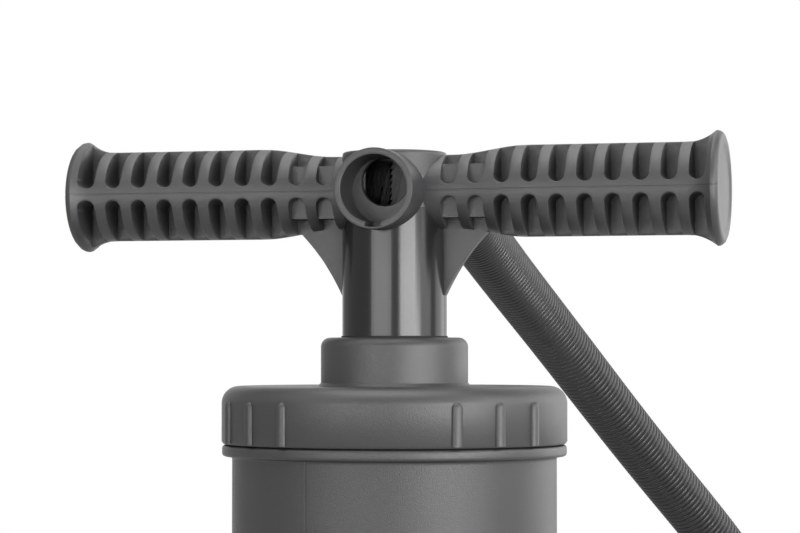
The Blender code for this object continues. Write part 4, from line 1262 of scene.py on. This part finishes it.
    def build(self, wardrobe: Wardrobe) -> None:
        """Build the handle as one piece in the handle's place.

        Args:
            wardrobe: the finishes.
        """
        drop = -self.hub_drop
        foot = drop - self.spigot_length
        line = [(ON_AXIS, self.hub_rise), (ROD_RADIUS, self.hub_rise), (ROD_RADIUS, drop)]
        line = fillet(line, self.hub_edge)
        line += [(self.spigot_radius, drop), (self.spigot_radius, foot), (ON_AXIS, foot)]
        hub = Solid.turned(line).piece("t_handle")
        for way in Way:
            carve(hub, self.channel_tool(way))
            carve(hub, self.bore_tool(way))
        rest = Solid()
        for side in Side:
            rest = rest.joined(self.grip.build(side), self.gusset(side))
        for way in Way:
            rest = rest.joined(self.socket(way))
        merge(hub, rest.piece("handle_rest"))
        hub.data.transform(shift(0, 0, HANDLE_Z))
        shade(hub)
        wardrobe.dress(hub, MOULDED, "handle", "handle")


@dataclass
class PumpBody:
    """The rod, screw cap, barrel, base and feet."""

    rod_low: float = 0.0517
    rod_top: float = 0.3451
    rod_bore: float = 0.0149
    rod_mouth: float = 0.0118
    rod_round: float = 0.0002
    divider_half: float = 0.0143
    # The plate reaches up into the hub, where its darker finish over the moulded wall is painted shade behind
    # the air hole.
    shade_sheet_top: float = 0.3610
    divider_thickness: float = 0.0020
    cap_low: float = 0.2696
    cap_radius: float = 0.05578
    cap_height: float = 0.0185
    cap_wall: float = 0.0026
    cap_top_wall: float = 0.0045
    cap_shoulder: float = 0.0055
    cap_hem: Flat = (0.0006, 0.0008)
    rib_groups: int = 4
    ribs_in_group: int = 3
    rib_step: float = 15.6
    first_group: float = -39.7
    rib_width: float = 0.0036
    rib_proud: float = 0.0012
    rib_top_drop: float = 0.0046
    neck_radius: float = 0.0238
    neck_height: float = 0.0156
    neck_round: float = 0.0030
    neck_foot: float = 0.0010
    neck_lip: float = 0.0030
    neck_pocket: float = 0.02025
    seal_height: float = 0.0038
    wiper_inner: float = 0.00006
    wiper_outer: float = 0.00034
    wiper_rise: float = 0.0005
    barrel_low: float = 0.0153
    barrel_radius: float = 0.05237
    barrel_bore: float = 0.04982
    barrel_floor: float = 0.006
    barrel_height: float = 0.266
    lip_radius: float = 0.0556
    lip_height: float = 0.0036
    lip_drop: float = 0.0121
    barrel_round: float = 0.0012
    seam_deg: float = -17.0
    seam_half: float = 0.0004
    seam_sink: float = 0.001
    seam_rise: float = 0.0002
    seam_edge: float = 0.00015
    base_under: float = 0.003
    base_length: float = 0.236
    base_width: float = 0.128
    base_corner: float = 0.040
    base_thickness: float = 0.012
    base_edge: float = 0.003
    base_hem: float = 0.0008
    corner_steps: int = 20
    pocket_end: float = 0.007
    pocket_rows: Flat = (0.002, 0.0215)
    pocket_corner: float = 0.002
    pocket_levels: Flat = (-0.002, 0.008)
    recess_levels: Flat = (-0.002, 0.0013)
    boss_height: float = 0.020
    boss_wall: float = 0.006
    boss_mouth: float = 0.0012
    boss_round: float = 0.0018
    boss_foot: float = 0.004
    boss_sink: float = 0.002
    boss_steps: int = 8
    foot_radius: float = 0.011
    foot_height: float = 0.004
    foot_round: float = 0.0010
    foot_places: tuple[Flat, ...] = ((-0.085, -0.0365), (-0.085, 0.0365), (0.085, -0.0365), (0.085, 0.0365))

    def rod(self, wardrobe: Wardrobe) -> None:
        """Build the hollow gloss rod.

        Args:
            wardrobe: the finishes.
        """
        line = [(self.rod_bore, self.rod_low), (ROD_RADIUS, self.rod_low)]
        line += [(ROD_RADIUS, self.rod_top), (self.rod_bore, self.rod_top)]
        made = Solid.turned(fillet(line, self.rod_round, closed=True), hoop=True).piece("gloss_rod")
        reach = 2 * ROD_RADIUS
        mouth = [(ON_AXIS, -reach), (self.rod_mouth, -reach), (self.rod_mouth, reach), (ON_AXIS, reach)]
        carve(made, Solid.turned(mouth).moved(along_y(Way.FRONT), shift(0, 0, HANDLE_Z)))
        wardrobe.dress(made, GLOSS, "handle", "piston_rod")

    def divider(self, wardrobe: Wardrobe) -> None:
        """Build the dark plate that splits the rod into two air channels; above the rod it lies over the
        hub's own moulded wall as a painted shade sheet, darker than the moulding, behind the socket's air
        hole.

        Args:
            wardrobe: the finishes.
        """
        x, y = self.divider_half, self.divider_thickness / 2
        outline = [(-x, -y), (x, -y), (x, y), (-x, y)]
        # Above the rod this plate is painted shade: a darker sheet laid on the hub's own wall, seen through
        # the socket's air hole.
        made = Solid.plate(outline, self.rod_low, self.shade_sheet_top).piece("divider_and_shade_sheet")
        wardrobe.dress(made, GUIDE, "handle", "rod_divider")

    def cap_rib(self, angle: float) -> Solid:
        """Build one upright half-round grip rib with a round top at an angle from the front.

        Args:
            angle: its angle from the front, in degrees.

        Returns:
            The rib, on the cap's own level.
        """
        top = self.cap_height - self.rib_top_drop - self.rib_width / 2
        rings = []
        levels = [(self.cap_radius - self.cap_wall / 2, 1.0)]
        for i in range(2 * ARC_STEPS):
            lean = math.pi / 2 * i / (2 * ARC_STEPS)
            levels.append((self.cap_radius + self.rib_proud * math.sin(lean), math.cos(lean)))
        for level, share in levels:
            half = self.rib_width / 2 * share
            outline = [(-half, RUNNING_CLEAR), (half, RUNNING_CLEAR)] + arc((0, top), half, 0, 180)
            rings.append([(x, y, level) for x, y in outline])
        return Solid.loft(rings).moved(turn(90, "X"), turn(angle, "Z"))

    def cap(self, wardrobe: Wardrobe) -> None:
        """Build the screw cap with its neck and grip ribs.

        Args:
            wardrobe: the finishes.
        """
        top = self.cap_height + self.neck_height
        ceiling = self.cap_height - self.cap_top_wall
        bore = ROD_RADIUS + RUNNING_CLEAR
        skirt = self.cap_radius - self.cap_wall
        line = [(bore, top), (self.neck_radius - self.neck_round, top)]
        line += arc((self.neck_radius - self.neck_round, top - self.neck_round), self.neck_round, 90, 0)[1:]
        foot = self.neck_foot
        line += [(self.neck_radius, self.cap_height + foot), (self.neck_radius + foot, self.cap_height)]
        middle = (self.cap_radius - self.cap_shoulder, self.cap_height - self.cap_shoulder)
        line += arc(middle, self.cap_shoulder, 90, 0)
        inset, hem = self.cap_hem
        line += [(self.cap_radius, hem), (self.cap_radius - inset, 0.0), (skirt, 0.0), (skirt, ceiling)]
        lip = top - self.neck_lip
        line += [(self.neck_pocket, ceiling), (self.neck_pocket, lip), (bore, lip)]
        made = Solid.turned(line, WIDE_SIDES, hoop=True)
        for group in range(self.rib_groups):
            middle_deg = self.first_group + 360.0 * group / self.rib_groups
            for i in range(self.ribs_in_group):
                away = (i - (self.ribs_in_group - 1) / 2) * self.rib_step
                made = made.joined(self.cap_rib(middle_deg + away))
        piece = made.moved(shift(0, 0, self.cap_low)).piece("ribbed_cap")
        wardrobe.dress(piece, MOULDED, "barrel", "screw_cap")

    def wiper(self, wardrobe: Wardrobe) -> None:
        """Build the rubber seal in the neck, whose thin lip comes out round the rod.

        Args:
            wardrobe: the finishes.
        """
        neck_top = self.cap_low + self.cap_height + self.neck_height
        high = neck_top - self.neck_lip - CLEAR
        low = high - self.seal_height
        bore, outside = ROD_RADIUS + RUNNING_CLEAR, self.neck_pocket - RUNNING_CLEAR
        inner, outer = ROD_RADIUS + self.wiper_inner, ROD_RADIUS + self.wiper_outer
        tip = neck_top + self.wiper_rise
        line = [(bore, low), (outside, low), (outside, high), (outer, high), (outer, tip)]
        line += [(inner, tip), (inner, high), (bore, high - RUNNING_CLEAR)]
        wardrobe.dress(Solid.turned(line, hoop=True).piece("rod_wiper"), RUBBER, "barrel", "rod_seal")

    def barrel(self, wardrobe: Wardrobe) -> None:
        """Build the barrel with its lip and mould seam.

        Args:
            wardrobe: the finishes.
        """
        lip_top = self.barrel_height - self.lip_drop
        lip_low = lip_top - self.lip_height
        radius, height, lip = self.barrel_radius, self.barrel_height, self.lip_radius
        line = [(self.barrel_bore, self.barrel_floor), (self.barrel_bore, height), (radius, height)]
        line += [(radius, lip_top), (lip, lip_top), (lip, lip_low), (radius, lip_low), (radius, 0.0)]
        line = [(ON_AXIS, self.barrel_floor)] + fillet(line, self.barrel_round) + [(ON_AXIS, 0.0)]
        made = Solid.turned(line, WIDE_SIDES)
        half = self.seam_half
        outline = [(-half, 0.0), (half, 0.0), (half, lip_low), (-half, lip_low)]
        seam = Solid.plate(outline, radius - self.seam_sink, radius + self.seam_rise, self.seam_edge)
        for half_turn in (0.0, 180.0):
            made = made.joined(seam.moved(turn(90, "X"), turn(self.seam_deg + half_turn, "Z")))
        piece = made.moved(shift(0, 0, self.barrel_low)).piece("round_barrel")
        wardrobe.dress(piece, MOULDED, "barrel", "barrel")

    def base_outline(self, inset: float) -> list[Flat]:
        """Return the base's outline, drawn in by an inset.

        Args:
            inset: how far it is drawn in.

        Returns:
            (x, y) points.
        """
        corner = self.base_corner - inset
        x = self.base_length / 2 - self.base_corner
        y = self.base_width / 2 - self.base_corner
        line: list[Flat] = []
        for sx, sy, start in ((1, 1, 0), (-1, 1, 90), (-1, -1, 180), (1, -1, 270)):
            line += arc((sx * x, sy * y), corner, start, start + 90, self.corner_steps)
        return line

    def base(self, wardrobe: Wardrobe) -> None:
        """Build the base: soft-edged plate with hollow wings, barrel socket and foot recesses.

        Args:
            wardrobe: the finishes.
        """
        levels = [(0.0, self.base_hem), (self.base_hem, 0.0)]
        for i in range(ARC_STEPS + 1):
            angle = math.pi / 2 * i / ARC_STEPS
            lift = self.base_thickness - self.base_edge + self.base_edge * math.sin(angle)
            levels.append((lift, self.base_edge * (1 - math.cos(angle))))
        rings = [[(x, y, z) for x, y in self.base_outline(inset)] for z, inset in levels]
        plate = Solid.loft(rings).piece("foot_base")
        outer = self.barrel_radius + CLEAR + self.boss_wall
        pockets = Solid()
        x0, x1 = outer, self.base_length / 2 - self.pocket_end
        y0, y1 = self.pocket_rows
        for side in Side:
            for row in (-1, 1):
                outline = [(side.value * x, row * y) for x, y in ((x0, y0), (x1, y0), (x1, y1), (x0, y1))]
                ordered = outline if side.value * row > 0 else outline[::-1]
                rounded = fillet(ordered, self.pocket_corner, closed=True)
                pockets = pockets.joined(Solid.plate(rounded, *self.pocket_levels))
        carve(plate, pockets)
        recesses = Solid()
        low, high = self.recess_levels
        wide = self.foot_radius + CLEAR
        for x, y in self.foot_places:
            line = [(ON_AXIS, low), (wide, low), (wide, high), (ON_AXIS, high)]
            recesses = recesses.joined(Solid.turned(line, SMALL_SIDES).moved(shift(x, y, 0)))
        carve(plate, recesses)
        inside, deck = self.barrel_radius + CLEAR, self.base_thickness
        top = deck + self.boss_height
        mouth, soft, foot = self.boss_mouth, self.boss_round, self.boss_foot
        line = [(inside, deck / 2), (inside, top - mouth), (inside + mouth, top), (outer - soft, top)]
        line += arc((outer - soft, top - soft), soft, 90, 0, ROUND_STEPS)[1:]
        line += arc((outer + foot, deck + foot), foot, 180, 270, self.boss_steps)
        line += [(outer + foot, deck - self.boss_sink), (outer, deck / 2)]
        boss = Solid.turned(line, WIDE_SIDES, hoop=True).piece("boss")
        merge(plate, boss)
        plate.data.transform(shift(0, 0, self.base_under))
        shade(plate)
        wardrobe.dress(plate, MOULDED, "barrel", "base")

    def feet(self, wardrobe: Wardrobe) -> None:
        """Build the four rubber feet.

        Args:
            wardrobe: the finishes.
        """
        radius, height = self.foot_radius, self.foot_height
        line = [(ON_AXIS, height), (radius, height), (radius, 0.0), (ON_AXIS, 0.0)]
        line = fillet(line, self.foot_round)
        for i, (x, y) in enumerate(self.foot_places, 1):
            foot = Solid.turned(line, SMALL_SIDES).moved(shift(x, y, 0)).piece(f"foot_pad_{i}")
            wardrobe.dress(foot, RUBBER, "barrel", f"rubber_foot_{i}")

    def build(self, wardrobe: Wardrobe) -> None:
        """Build every piece of the body.

        Args:
            wardrobe: the finishes.
        """
        self.rod(wardrobe)
        self.divider(wardrobe)
        self.cap(wardrobe)
        self.wiper(wardrobe)
        self.barrel(wardrobe)
        self.base(wardrobe)
        self.feet(wardrobe)


def main() -> None:
    """Load the frame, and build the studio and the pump."""
    logging.basicConfig(level=logging.INFO, format="%(name)s: %(message)s")
    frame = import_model()
    Studio().build()
    wardrobe = Wardrobe()
    wardrobe.dress_solids(frame)
    hose = AirHose()
    fittings = HoseFittings(hose)
    ends = [fittings.connector(wardrobe), fittings.cuff(wardrobe), fittings.nozzle(wardrobe)]
    hose.build(wardrobe, ends)
    Handle().build(wardrobe)
    PumpBody().build(wardrobe)
    bpy.context.view_layer.update()


if __name__ == "__main__":
    main()
